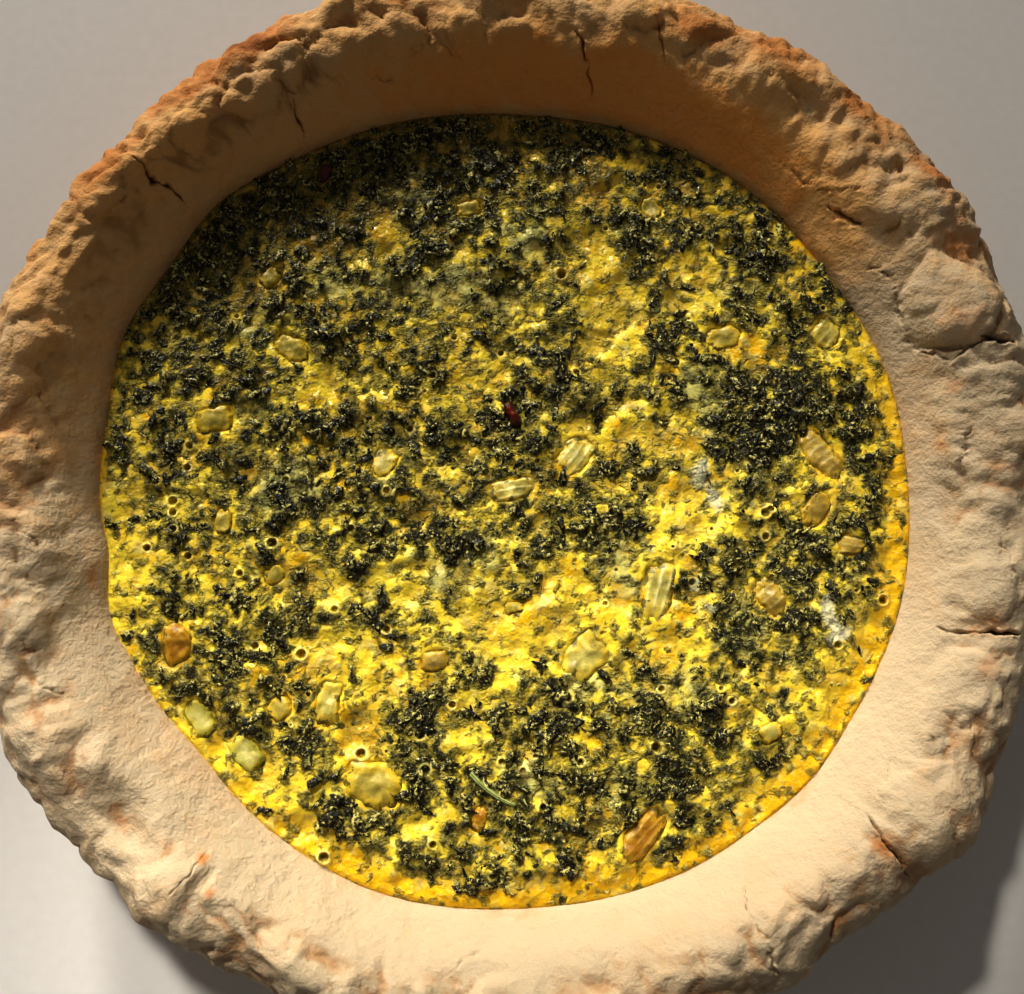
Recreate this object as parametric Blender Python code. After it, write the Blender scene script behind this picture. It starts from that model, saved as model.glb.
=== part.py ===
"""Round quiche baked in a hand-pinched pastry crust, with onion pieces set into the top of the filling.

Metres, +Z up. The flat base stands on Z = 0 and the outline is centred on the Z axis.
"""

import math
from dataclasses import dataclass

import bmesh
import bpy
from mathutils import Matrix, Vector, noise

MM = 0.001

# Overall sizes
SEGMENTS = 96
CUSTARD_RADIUS = 94.7 * MM
CUSTARD_HEIGHT = 27.0 * MM
GAP = 0.42 * MM
FLOOR_GAP = 0.36 * MM

# Surface unevenness
RIM_LUMP = 2.2 * MM
RIM_LUMP_SIZE = 19.0 * MM
CUSTARD_WAVE = 0.9 * MM
CUSTARD_WAVE_SIZE = 17.0 * MM
CUSTARD_DOME = 0.8 * MM
ONION_POCKET = 0.32 * MM
ONION_RINGS = 6
ONION_SIDES = 10


@dataclass(frozen=True)
class Row:
    """One ring of the crust's section: how far out and up it is, and what bends it."""

    radius: float
    height: float
    wall: float = 0.0
    outer: float = 0.0
    lump: float = 0.0


# From the inner floor, up the wall, over the rim and down the outside to the base (millimetres)
SECTION = (
    Row(79.5, 5.0),
    Row(86.4, 8.0, wall=0.1),
    Row(91.4, 18.5, wall=0.6),
    Row(94.7, 27.0, wall=1.0),
    Row(98.4, 31.1, wall=1.0, lump=0.1),
    Row(102.6, 35.2, wall=0.8, lump=0.35),
    Row(107.0, 38.6, wall=0.5, outer=0.2, lump=0.8),
    Row(111.2, 40.3, wall=0.2, outer=0.5, lump=1.0),
    Row(115.0, 40.5, outer=0.8, lump=1.0),
    Row(118.4, 39.3, outer=1.0, lump=1.0),
    Row(121.4, 36.9, outer=1.0, lump=1.0),
    Row(123.8, 33.8, outer=1.0, lump=1.0),
    Row(124.6, 30.6, outer=1.0, lump=0.8),
    Row(123.2, 28.0, outer=1.0, lump=0.4),
    Row(119.0, 26.9, outer=0.6, lump=0.1),
    Row(112.0, 27.4, outer=0.2),
    Row(106.0, 26.6),
    Row(102.8, 22.0),
    Row(96.2, 9.5),
    Row(92.0, 2.6),
    Row(89.8, 0.6),
    Row(87.1, 0.0),
)
CUSTARD_ROW = 3


@dataclass(frozen=True)
class Lobe:
    """A local swelling or flat of the outline, centred on an angle in degrees."""

    angle: float
    width: float
    amount: float

    def at(self, angle: float) -> float:
        """The push outwards, in metres, at an angle in degrees."""
        off = (angle - self.angle + 180.0) % 360.0 - 180.0
        return self.amount * MM * math.exp(-((off / self.width) ** 2))


# Outline of the filling's top edge
EDGE_LOBES = (
    Lobe(85.0, 26.0, -4.0),
    Lobe(34.0, 20.0, -3.2),
    Lobe(60.0, 10.0, -0.7),
    Lobe(0.0, 13.0, -1.5),
    Lobe(137.0, 10.0, 2.8),
    Lobe(159.0, 9.0, 2.7),
    Lobe(191.0, 4.0, -1.4),
    Lobe(201.0, 5.0, 1.3),
    Lobe(223.0, 8.0, -1.6),
    Lobe(254.0, 16.0, 2.1),
    Lobe(292.0, 24.0, 2.0),
    Lobe(314.0, 7.0, 0.9),
)

# Outline of the rim's outer edge
OUTER_LOBES = (
    Lobe(109.0, 8.0, 1.7),
    Lobe(140.0, 9.0, -2.0),
    Lobe(153.0, 4.0, -1.5),
    Lobe(161.0, 5.0, 1.9),
    Lobe(72.0, 5.0, 1.5),
    Lobe(57.0, 5.0, 1.0),
    Lobe(36.0, 5.0, 1.1),
    Lobe(17.0, 4.0, -1.6),
    Lobe(321.0, 5.0, 2.3),
    Lobe(305.0, 5.0, -1.5),
    Lobe(209.0, 9.0, 1.7),
    Lobe(242.0, 8.0, -1.7),
)


@dataclass(frozen=True)
class Swell:
    """A rounded knob or dent of the rim: where it sits, how wide it is and how far it stands out."""

    angle: float
    radius: float
    size: float
    amount: float

    def at(self, point: Vector) -> float:
        """The push along the surface, in metres, at a point."""
        middle = polar(self.angle, self.radius * MM, point.z)
        return self.amount * MM * math.exp(-(((point - middle).length / (self.size * MM)) ** 2))


SWELLS = (
    Swell(20.6, 110.5, 11.0, 3.0),
    Swell(317.0, 118.5, 10.0, 1.6),
    Swell(222.4, 112.5, 9.0, -2.4),
    Swell(228.2, 113.0, 8.0, 1.8),
    Swell(163.5, 113.0, 9.0, 1.6),
    Swell(153.0, 114.5, 7.0, -1.4),
    Swell(131.5, 115.0, 8.0, -1.3),
    Swell(63.5, 112.5, 8.0, -1.2),
    Swell(48.5, 113.0, 7.0, -1.2),
    Swell(198.5, 110.0, 8.0, 1.2),
)


@dataclass(frozen=True)
class Crack:
    """An open split across the rim, cut as a thin wedge."""

    angle: float
    radius: float
    height: float
    heading: float
    length: float
    width: float
    depth: float


CRACKS = (
    Crack(340.6, 110.0, 40.2, -4.0, 18.0, 1.5, 4.0),
    Crack(314.0, 114.1, 40.2, -56.0, 15.0, 1.0, 3.2),
    Crack(14.2, 114.0, 40.2, 0.0, 9.0, 1.4, 3.4),
    Crack(140.0, 106.0, 38.6, -37.0, 9.0, 1.3, 2.6),
    Crack(79.8, 104.5, 38.6, -72.0, 10.0, 1.2, 3.2),
)


@dataclass(frozen=True)
class Onion:
    """One piece of cooked onion: where it sits in the filling and how large it is (millimetres)."""

    angle: float
    radius: float
    heading: float
    length: float
    width: float
    height: float = 4.2
    arch: float = 1.0


ONIONS = (
    Onion(149.4, 59.1, 147.0, 10.5, 6.5),
    Onion(169.5, 69.3, 8.0, 10.0, 7.4),
    Onion(289.5, 4.0, 15.0, 12.0, 6.0, arch=1.4),
    Onion(175.3, 28.6, 60.0, 8.0, 6.5),
    Onion(321.4, 43.7, 76.0, 15.0, 8.0, arch=1.4),
    Onion(292.4, 45.8, 45.0, 13.0, 10.0, arch=1.2),
    Onion(247.1, 75.5, 165.0, 14.0, 10.5, height=4.8, arch=0.6),
    Onion(232.8, 65.6, 78.0, 11.5, 6.5),
    Onion(207.9, 83.9, 100.0, 10.5, 8.5, height=4.8),
    Onion(219.2, 88.0, 126.0, 10.5, 6.0),
    Onion(227.8, 85.5, 140.0, 10.5, 7.0),
    Onion(3.2, 72.8, 127.0, 14.0, 7.5, arch=1.4),
    Onion(24.0, 82.6, 62.0, 8.5, 7.5),
    Onion(353.2, 71.4, 62.0, 10.0, 6.5),
    Onion(334.5, 66.0, 125.0, 10.5, 6.5),
    Onion(290.2, 86.0, 50.0, 15.0, 7.5, arch=1.2),
    Onion(32.5, 60.7, 10.0, 10.0, 6.5),
    Onion(249.4, 45.9, 10.0, 8.0, 5.5),
    Onion(14.4, 16.2, 60.0, 11.0, 8.0),
)


def polar(angle: float, radius: float, height: float) -> Vector:
    """The point at an angle in degrees, a radius and a height."""
    turn = math.radians(angle)
    return Vector((radius * math.cos(turn), radius * math.sin(turn), height))


def clear_scene() -> None:
    """Takes every object out of the scene."""
    for item in list(bpy.data.objects):
        bpy.data.objects.remove(item, do_unlink=True)


def make_material(name: str, colour: tuple[float, float, float], roughness: float) -> bpy.types.Material:
    """A plain Principled material."""
    material = bpy.data.materials.new(name)
    material.use_nodes = True
    shader = material.node_tree.nodes["Principled BSDF"]
    shader.inputs["Base Color"].default_value = (*colour, 1.0)
    shader.inputs["Roughness"].default_value = roughness
    shader.inputs["Metallic"].default_value = 0.0
    return material


def make_object(name: str, shape: bmesh.types.BMesh, material: bpy.types.Material) -> bpy.types.Object:
    """Turns a finished shape into a smooth-shaded object."""
    bmesh.ops.recalc_face_normals(shape, faces=shape.faces)
    mesh = bpy.data.meshes.new(name)
    shape.to_mesh(mesh)
    shape.free()
    mesh.polygons.foreach_set("use_smooth", [True] * len(mesh.polygons))
    mesh.materials.append(material)
    item = bpy.data.objects.new(name, mesh)
    bpy.context.scene.collection.objects.link(item)
    return item


def edge_shift(angle: float) -> float:
    """How far the filling's outline stands off a circle at an angle."""
    return sum(lobe.at(angle) for lobe in EDGE_LOBES)


def outer_shift(angle: float) -> float:
    """How far the rim's outline stands off a circle at an angle."""
    return sum(lobe.at(angle) for lobe in OUTER_LOBES)


def section_normal(index: int) -> tuple[float, float]:
    """The outward direction (radial, up) of the section at a row."""
    before = SECTION[max(index - 1, 0)]
    after = SECTION[min(index + 1, len(SECTION) - 1)]
    along = Vector((after.radius - before.radius, after.height - before.height))
    along.normalize()
    return -along.y, along.x


def crust_point(index: int, angle: float) -> Vector:
    """A point of the crust's surface, with the outline, the lumps and the knobs put in."""
    row = SECTION[index]
    radius = row.radius * MM + row.wall * edge_shift(angle) + row.outer * outer_shift(angle)
    point = polar(angle, radius, row.height * MM)
    if row.lump <= 0.0:
        return point
    push = RIM_LUMP * noise.noise(point / RIM_LUMP_SIZE)
    push += 0.5 * RIM_LUMP * noise.noise(point / (0.5 * RIM_LUMP_SIZE) + Vector((7.0, 3.0, 1.0)))
    push += sum(swell.at(point) for swell in SWELLS)
    out, up = section_normal(index)
    return point + polar(angle, out * push * row.lump, up * push * row.lump)


def bridge(shape: bmesh.types.BMesh, lower: list, upper: list) -> None:
    """Joins two rings that have as many corners as each other."""
    count = len(lower)
    for k in range(count):
        after = (k + 1) % count
        shape.faces.new((lower[k], lower[after], upper[after], upper[k]))


def halve(shape: bmesh.types.BMesh, outer: list, inner: list) -> None:
    """Joins a ring to an inner one that has half as many corners."""
    count = len(inner)
    for k in range(count):
        after = (k + 1) % count
        first, middle, last = outer[2 * k], outer[2 * k + 1], outer[(2 * k + 2) % len(outer)]
        shape.faces.new((first, middle, inner[k]))
        shape.faces.new((middle, inner[after], inner[k]))
        shape.faces.new((middle, last, inner[after]))


def ring_angles(count: int) -> list[float]:
    """Evenly spaced angles in degrees."""
    return [360.0 * k / count for k in range(count)]


def build_crust(material: bpy.types.Material) -> bpy.types.Object:
    """The pastry: floor, wall and pinched rim in one closed body."""
    shape = bmesh.new()
    rings = []
    for index in range(len(SECTION)):
        rings.append([shape.verts.new(crust_point(index, angle)) for angle in ring_angles(SEGMENTS)])
    for inner, outer in zip(rings, rings[1:]):
        bridge(shape, inner, outer)
    shape.faces.new(rings[0])
    shape.faces.new(list(reversed(rings[-1])))
    return make_object("crust", shape, material)


def crack_cutter(crack: Crack) -> bmesh.types.BMesh:
    """A long thin wedge, wide at the top and pointed at its two ends."""
    shape = bmesh.new()
    half = 0.5 * crack.length * MM
    wide = 0.5 * crack.width * MM
    deep = crack.depth * MM
    lift = 4.0 * MM
    outline = ((-half, 0.0), (-0.4 * half, wide), (0.5 * half, 0.8 * wide), (half, 0.0))
    outline += ((0.4 * half, -wide), (-0.5 * half, -0.8 * wide))
    top = [shape.verts.new((x, y * (1.0 + lift / deep), lift)) for x, y in outline]
    keel = [shape.verts.new((x * 0.6, y * 0.15, -deep)) for x, y in outline]
    bridge(shape, keel, top)
    shape.faces.new(top)
    shape.faces.new(list(reversed(keel)))
    place = Matrix.Translation(polar(crack.angle, crack.radius * MM, crack.height * MM))
    turn = Matrix.Rotation(math.radians(crack.heading), 4, "Z")
    bmesh.ops.transform(shape, matrix=place @ turn, verts=shape.verts)
    return shape


def cut(target: bpy.types.Object, cutter: bpy.types.Object) -> None:
    """Cuts one object out of another for good and takes the cutter away."""
    modifier = target.modifiers.new("cut", "BOOLEAN")
    modifier.operation = "DIFFERENCE"
    modifier.solver = "EXACT"
    modifier.object = cutter
    graph = bpy.context.evaluated_depsgraph_get()
    mesh = bpy.data.meshes.new_from_object(target.evaluated_get(graph))
    target.modifiers.remove(modifier)
    old = target.data
    target.data = mesh
    bpy.data.meshes.remove(old)
    bpy.data.objects.remove(cutter, do_unlink=True)


def custard_height(x: float, y: float) -> float:
    """The height of the filling's top, gently domed and uneven, level at its edge."""
    reach = math.hypot(x, y) / CUSTARD_RADIUS
    fade = max(0.0, min(1.0, (0.97 - reach) / 0.2))
    place = Vector((x, y, 0.0))
    wave = noise.noise(place / CUSTARD_WAVE_SIZE + Vector((3.0, 1.0, 0.5)))
    return CUSTARD_HEIGHT + fade * (CUSTARD_DOME + CUSTARD_WAVE * wave)


def build_filling(material: bpy.types.Material) -> bpy.types.Object:
    """The baked egg filling: a solid disc that follows the crust's wall at a small gap."""
    shape = bmesh.new()
    rings = []
    for index in range(CUSTARD_ROW + 1):
        row = SECTION[index]
        lift = FLOOR_GAP if index == 0 else 0.0
        ring = []
        for angle in ring_angles(SEGMENTS):
            radius = row.radius * MM + row.wall * edge_shift(angle) - GAP
            ring.append(shape.verts.new(polar(angle, radius, row.height * MM + lift)))
        rings.append(ring)
    for lower, upper in zip(rings, rings[1:]):
        bridge(shape, lower, upper)
    shape.faces.new(list(reversed(rings[0])))

    def level_ring(share: float, count: int) -> list:
        ring = []
        for angle in ring_angles(count):
            radius = share * (CUSTARD_RADIUS + edge_shift(angle) * share**4)
            flat = polar(angle, radius, 0.0)
            ring.append(shape.verts.new((flat.x, flat.y, custard_height(flat.x, flat.y))))
        return ring

    outer = rings[-1]
    near = level_ring(0.93, SEGMENTS)
    bridge(shape, outer, near)
    middle = level_ring(0.84, SEGMENTS // 2)
    halve(shape, near, middle)
    for share in (0.72, 0.59, 0.46):
        inner = level_ring(share, SEGMENTS // 2)
        bridge(shape, middle, inner)
        middle = inner
    small = level_ring(0.33, SEGMENTS // 4)
    halve(shape, middle, small)
    inner = level_ring(0.17, SEGMENTS // 4)
    bridge(shape, small, inner)
    peak = shape.verts.new((0.0, 0.0, custard_height(0.0, 0.0)))
    for k in range(len(inner)):
        shape.faces.new((inner[k], inner[(k + 1) % len(inner)], peak))
    return make_object("filling", shape, material)


def onion_shape(piece: Onion, grow: float) -> bmesh.types.BMesh:
    """A blunt, arched slip of onion lying in the filling, grown by a small amount all over."""
    shape = bmesh.new()
    bmesh.ops.create_uvsphere(shape, u_segments=ONION_SIDES, v_segments=ONION_RINGS, radius=1.0)
    half = (
        0.5 * piece.length * MM + grow,
        0.5 * piece.width * MM + grow,
        0.5 * piece.height * MM + grow,
    )
    for vert in shape.verts:
        x, y, z = vert.co
        blunt = 1.0 + 0.16 * (x * x * y * y) * 4.0
        vert.co = Vector((x * half[0] * blunt, y * half[1] * blunt, z * half[2]))
        vert.co.z -= piece.arch * MM * ((x * blunt) ** 2 * 0.6 + (y * blunt) ** 2 * 0.4)
    flat = polar(piece.angle, piece.radius * MM, 0.0)
    level = custard_height(flat.x, flat.y) - 0.35 * MM
    place = Matrix.Translation((flat.x, flat.y, level))
    turn = Matrix.Rotation(math.radians(piece.heading), 4, "Z")
    bmesh.ops.transform(shape, matrix=place @ turn, verts=shape.verts)
    return shape


def main() -> None:
    """Builds the crust, the filling and the onion pieces."""
    clear_scene()
    pastry = make_material("pastry", (0.72, 0.50, 0.28), 0.75)
    egg = make_material("egg", (0.62, 0.42, 0.05), 0.35)
    cooked = make_material("cooked_onion", (0.52, 0.40, 0.12), 0.25)
    crust = build_crust(pastry)
    for crack in CRACKS:
        cut(crust, make_object("crack_cutter", crack_cutter(crack), pastry))
    filling = build_filling(egg)
    for number, onion in enumerate(ONIONS, start=1):
        cut(filling, make_object("pocket_cutter", onion_shape(onion, ONION_POCKET), egg))
        make_object(f"onion_{number:02d}", onion_shape(onion, 0.0), cooked)


if __name__ == "__main__":
    main()
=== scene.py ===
"""Looks of a round quiche: pinched pastry crust, baked egg with chopped leaf, and cooked onion.

Shapes are worked out in the part's own millimetres and written in metres, in the frame's place.
"""

import itertools
import logging
import math
from dataclasses import dataclass, field
from enum import Enum
from typing import Any, Sequence

import bmesh
import bpy
import numpy as np
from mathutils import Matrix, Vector


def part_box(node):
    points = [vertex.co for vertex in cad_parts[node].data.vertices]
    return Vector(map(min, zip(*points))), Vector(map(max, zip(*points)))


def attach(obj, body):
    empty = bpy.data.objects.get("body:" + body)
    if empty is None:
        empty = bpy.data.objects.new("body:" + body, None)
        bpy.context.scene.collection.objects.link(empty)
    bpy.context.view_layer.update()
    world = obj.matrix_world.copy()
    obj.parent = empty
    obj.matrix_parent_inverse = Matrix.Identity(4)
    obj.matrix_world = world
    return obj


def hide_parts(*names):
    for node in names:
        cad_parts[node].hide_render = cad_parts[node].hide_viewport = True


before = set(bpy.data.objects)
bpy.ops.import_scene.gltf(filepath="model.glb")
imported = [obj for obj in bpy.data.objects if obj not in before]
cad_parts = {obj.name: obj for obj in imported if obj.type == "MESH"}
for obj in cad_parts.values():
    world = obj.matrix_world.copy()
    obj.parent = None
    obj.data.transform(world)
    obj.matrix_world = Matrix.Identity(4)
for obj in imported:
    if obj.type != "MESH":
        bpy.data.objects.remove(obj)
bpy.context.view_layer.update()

LOG = logging.getLogger("quiche")
NOMINAL_WIDTH = 249.2
UNIT = (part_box("crust")[1].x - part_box("crust")[0].x) / NOMINAL_WIDTH
Colour = tuple[float, float, float]
Array = np.ndarray


def srgb(red: float, green: float, blue: float) -> Colour:
    """Turns a colour read in 0 to 255 display values into scene-linear values.

    Args:
        red: Display red.
        green: Display green.
        blue: Display blue.

    Returns:
        The linear colour.
    """
    shares = [part / 255.0 for part in (red, green, blue)]
    return tuple(s / 12.92 if s <= 0.04045 else ((s + 0.055) / 1.055) ** 2.4 for s in shares)


# ---- Fields: smooth, seeded patterns worked out for many points at once ----


def smoothstep(low: float, high: float, value: Array) -> Array:
    """Rises smoothly from 0 at low to 1 at high.

    Args:
        low: Where the rise starts.
        high: Where it ends.
        value: The values to grade.

    Returns:
        The graded values.
    """
    share = np.clip((value - low) / (high - low), 0.0, 1.0)
    return share * share * (3.0 - 2.0 * share)


def polar(angle: float, radius: float) -> Array:
    """Gives the plan position of an angle in degrees and a radius in millimetres."""
    turn = math.radians(angle)
    return np.array([radius * math.cos(turn), radius * math.sin(turn)])


def turned(away: Array, heading: float) -> tuple[Array, Array]:
    """Gives how far plan offsets go along a heading in degrees, and how far to its left.

    Args:
        away: Offsets, two to a row.
        heading: The heading in degrees.

    Returns:
        The distances along it and the distances to its left.
    """
    turn = math.radians(heading)
    cos, sin = math.cos(turn), math.sin(turn)
    return away @ np.array([cos, sin]), away @ np.array([-sin, cos])


def raised(plan: Array, height: float = 0.0) -> Array:
    """Gives plan points a height."""
    return np.column_stack([plan, np.full(len(plan), height)])


def rows_of(kind: type, *rows: tuple[Any, ...]) -> tuple[Any, ...]:
    """Makes one thing of a kind from each row of its fields, in their order."""
    return tuple(kind(*row) for row in rows)


class Field:
    """Seeded noise over points given in millimetres."""

    @staticmethod
    def scramble(cells: Array, seed: int) -> Array:
        """Mixes whole-number cells into evenly spread 32-bit numbers.

        Args:
            cells: Whole-number cells, three to a row.
            seed: The pattern's number.

        Returns:
            One number for each cell.
        """
        part = cells.astype(np.int64).astype(np.uint32)
        mixed = part[:, 0] * np.uint32(73856093) ^ part[:, 1] * np.uint32(19349663)
        mixed ^= part[:, 2] * np.uint32(83492791) ^ np.uint32(seed * 2654435761 % 2**32)
        for factor in (0x7FEB352D, 0x846CA68B):
            mixed ^= mixed >> np.uint32(16)
            mixed *= np.uint32(factor)
        return mixed ^ (mixed >> np.uint32(15))

    @classmethod
    def smooth(cls, points: Array, size: float, seed: int) -> Array:
        """Gradient noise, about -1 to 1.

        Args:
            points: Points in millimetres, three to a row.
            size: The pattern's size in millimetres.
            seed: The pattern's number.

        Returns:
            One value for each point.
        """
        place = points / size + np.array([0.37, 0.71, 0.13]) * (seed % 17 + 1)
        base = np.floor(place)
        inside = place - base
        blend = inside**3 * (inside * (inside * 6.0 - 15.0) + 10.0)
        total = np.zeros(len(points))
        for corner in itertools.product((0.0, 1.0), repeat=3):
            corner = np.array(corner)
            mixed = cls.scramble(base + corner, seed)
            slopes = [(mixed >> np.uint32(shift) & np.uint32(1023)) / 511.5 - 1.0 for shift in (0, 10, 20)]
            away = inside - corner
            weight = np.prod(np.where(corner > 0.5, blend, 1.0 - blend), axis=1)
            total += weight * (slopes[0] * away[:, 0] + slopes[1] * away[:, 1] + slopes[2] * away[:, 2])
        return total * 1.5

    @classmethod
    def layered(cls, points: Array, size: float, seed: int, layers: int = 3) -> Array:
        """Noise with finer and fainter layers added, about -1 to 1.

        Args:
            points: Points in millimetres, three to a row.
            size: The broadest layer's size in millimetres.
            seed: The pattern's number.
            layers: How many layers.

        Returns:
            One value for each point.
        """
        total = np.zeros(len(points))
        for step in range(layers):
            total += cls.smooth(points, size / 2.03**step, seed + step) / 1.9**step
        return total

    @classmethod
    def pillows(cls, points: Array, size: float, seed: int) -> Array:
        """Rounded swellings with creases between them, 0 in a crease to about 1 on a top."""
        folded = np.abs(cls.smooth(points, size, seed))
        return np.sqrt(folded * 1.6 + 0.002)


@dataclass(frozen=True)
class Lobe:
    """A local swelling of an outline, centred on an angle in degrees."""

    angle: float
    width: float
    amount: float

    def at(self, angles: Array) -> Array:
        """Gives the swelling at angles in degrees."""
        off = (angles - self.angle + 180.0) % 360.0 - 180.0
        return self.amount * np.exp(-((off / self.width) ** 2))


def lobed(lobes: Sequence[Lobe], angles: Array) -> Array:
    """Adds up lobes at angles in degrees."""
    return sum((lobe.at(angles) for lobe in lobes), np.zeros(len(angles)))


@dataclass(frozen=True)
class Spot:
    """A round soft-edged patch: where it lies, how wide it is and how strong."""

    angle: float
    radius: float
    size: float
    amount: float = 1.0
    stretch: float = 1.0
    heading: float = 0.0

    def at(self, plan: Array) -> Array:
        """Gives the patch's strength at plan points, two to a row."""
        ahead, aside = turned(plan - polar(self.angle, self.radius), self.heading)
        return self.amount * np.exp(-((ahead / self.stretch) ** 2 + aside**2) / self.size**2)


def spotted(spots: Sequence[Spot], plan: Array) -> Array:
    """Adds up spots at plan points."""
    return sum((spot.at(plan) for spot in spots), np.zeros(len(plan)))


def patches(size: float, amount: float, *places: tuple[float, float]) -> tuple[Spot, ...]:
    """Makes round patches of one size and strength at angles and radii."""
    return tuple(Spot(angle, radius, size, amount) for angle, radius in places)


# ---- Shader maths ----


class Graph:
    """A material's node tree, with every node made by one method."""

    def __init__(self, name: str) -> None:
        """Starts an empty material.

        Args:
            name: The material's name.
        """
        self.material = bpy.data.materials.new(name)
        self.material.use_nodes = True
        self.tree = self.material.node_tree
        self.tree.nodes.clear()

    def node(self, kind: str, settings: dict[str, Any] | None = None, **inputs: Any) -> bpy.types.Node:
        """Makes a node, sets it up and fills its sockets.

        Args:
            kind: The node's type.
            settings: Properties, which are set first.
            inputs: Socket names, with spaces as underscores, or i and a number; each a value or a link.

        Returns:
            The node.
        """
        made = self.tree.nodes.new(kind)
        for key, value in (settings or {}).items():
            setattr(made, key, value)
        for key, value in inputs.items():
            numbered = key[0] == "i" and key[1:].isdigit()
            socket = made.inputs[int(key[1:]) if numbered else key.replace("_", " ")]
            self.fill(socket, value)
        return made

    def fill(self, socket: bpy.types.NodeSocket, value: Any) -> None:
        """Links a value to a socket, or sets the socket's own value.

        Args:
            socket: The socket.
            value: A link, a colour or a number.
        """
        if isinstance(value, Value):
            self.tree.links.new(value.socket, socket)
        elif isinstance(value, tuple) and len(value) == 3 and socket.type == "RGBA":
            socket.default_value = (*value, 1.0)
        else:
            socket.default_value = value

    def place(self) -> "Value":
        """Gives the piece's own coordinates, in metres."""
        return Value(self, self.node("ShaderNodeTexCoord").outputs["Object"])

    def attribute(self, name: str) -> "Value":
        """Gives a number kept on the mesh."""
        made = self.node("ShaderNodeAttribute", {"attribute_name": name})
        return Value(self, made.outputs["Fac"])

    def noise(self, where: "Value", size: float, detail: float = 2.0, roughness: float = 0.5) -> "Value":
        """Gives noise of a size in millimetres, about 0 to 1.

        Args:
            where: Coordinates.
            size: The noise's size in millimetres.
            detail: Its finer layers.
            roughness: How strong they are.

        Returns:
            The noise.
        """
        scale = 1.0 / (size * UNIT)
        made = self.node("ShaderNodeTexNoise", Vector=where, Scale=scale, Detail=detail, Roughness=roughness)
        return Value(self, made.outputs["Fac"])

    def warp(self, where: "Value", size: float, amount: float) -> "Value":
        """Pushes coordinates about by noise.

        Args:
            where: Coordinates.
            size: The noise's size in millimetres.
            amount: How far it pushes, in millimetres.

        Returns:
            The pushed coordinates.
        """
        made = self.node("ShaderNodeTexNoise", Vector=where, Scale=1.0 / (size * UNIT), Detail=2.0)
        push, reach = Value(self, made.outputs["Color"]), (2.0 * amount * UNIT,) * 3
        shift = self.node("ShaderNodeVectorMath", {"operation": "MULTIPLY_ADD"}, i0=push, i1=reach, i2=where)
        return Value(self, shift.outputs["Vector"])

    def mix(self, first: Any, second: Any, share: Any) -> "Value":
        """Blends two colours by a share of the second."""
        made = self.node("ShaderNodeMix", {"data_type": "RGBA"}, i0=share, i6=first, i7=second)
        return Value(self, made.outputs[2])

    def grade(
        self, value: "Value", low: float, high: float, start: float = 0.0, end: float = 1.0
    ) -> "Value":
        """Maps a number smoothly from low and high to start and end.

        Args:
            value: The number.
            low: Its value where the result is start.
            high: Its value where the result is end.
            start: The result at low.
            end: The result at high.

        Returns:
            The mapped number.
        """
        smooth = {"interpolation_type": "SMOOTHSTEP"}
        made = self.node("ShaderNodeMapRange", smooth, i0=value, i1=low, i2=high, i3=start, i4=end)
        return Value(self, made.outputs[0])

    def coats(self, colour: Any, *coats: tuple[Any, Any, float, float, Any]) -> "Value":
        """Lays colours one over another, each where a number rises, and up to a share.

        Args:
            colour: The colour underneath.
            coats: For each one its colour, the number, where the rise starts and ends, and the share.

        Returns:
            The finished colour.
        """
        for over, value, low, high, share in coats:
            colour = self.mix(colour, over, self.grade(value, low, high) * share)
        return colour

    def bump(self, height: "Value", distance: float, strength: float) -> "Value":
        """Gives a normal from a height, whose full rise is a distance in millimetres."""
        made = self.node("ShaderNodeBump", Height=height, Strength=strength, Distance=distance * UNIT)
        return Value(self, made.outputs["Normal"])

    def finish(self, **inputs: Any) -> bpy.types.Material:
        """Ends the tree in a Principled shader.

        Args:
            inputs: The shader's sockets, by name with underscores.

        Returns:
            The material.
        """
        shader = self.node("ShaderNodeBsdfPrincipled", None, **inputs)
        output = self.node("ShaderNodeOutputMaterial")
        self.tree.links.new(shader.outputs["BSDF"], output.inputs["Surface"])
        return self.material


class Value:
    """A socket that sums can be written with."""

    def __init__(self, graph: Graph, socket: bpy.types.NodeSocket) -> None:
        """Wraps a socket of a graph."""
        self.graph = graph
        self.socket = socket

    def maths(self, operation: str, first: Any, second: Any) -> "Value":
        """Adds a Math node of two numbers."""
        made = self.graph.node("ShaderNodeMath", {"operation": operation}, i0=first, i1=second)
        return Value(self.graph, made.outputs[0])

    def __add__(self, other: Any) -> "Value":
        """Adds."""
        return self.maths("ADD", self, other)

    def __radd__(self, other: Any) -> "Value":
        """Adds, with the number first."""
        return self.maths("ADD", other, self)

    def __sub__(self, other: Any) -> "Value":
        """Subtracts."""
        return self.maths("SUBTRACT", self, other)

    def __rsub__(self, other: Any) -> "Value":
        """Subtracts from a number."""
        return self.maths("SUBTRACT", other, self)

    def __mul__(self, other: Any) -> "Value":
        """Multiplies."""
        return self.maths("MULTIPLY", self, other)

    def __rmul__(self, other: Any) -> "Value":
        """Multiplies, with the number first."""
        return self.maths("MULTIPLY", other, self)


# ---- Meshes ----


def plan_of(points: Array) -> Array:
    """Gives the plan part of points."""
    return points[:, :2]


def read_points(mesh: bpy.types.Mesh) -> Array:
    """Reads a mesh's points, three to a row.

    Args:
        mesh: The mesh.

    Returns:
        The points, as the mesh holds them.
    """
    points = np.empty(len(mesh.vertices) * 3)
    mesh.vertices.foreach_get("co", points)
    return points.reshape(-1, 3)


def meshed(name: str, shape: bmesh.types.BMesh) -> bpy.types.Mesh:
    """Turns a shape into a mesh, and frees the shape.

    Args:
        name: The mesh's name.
        shape: The shape, in millimetres.

    Returns:
        The mesh, still in millimetres.
    """
    mesh = bpy.data.meshes.new(name)
    shape.to_mesh(mesh)
    shape.free()
    return mesh


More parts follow.
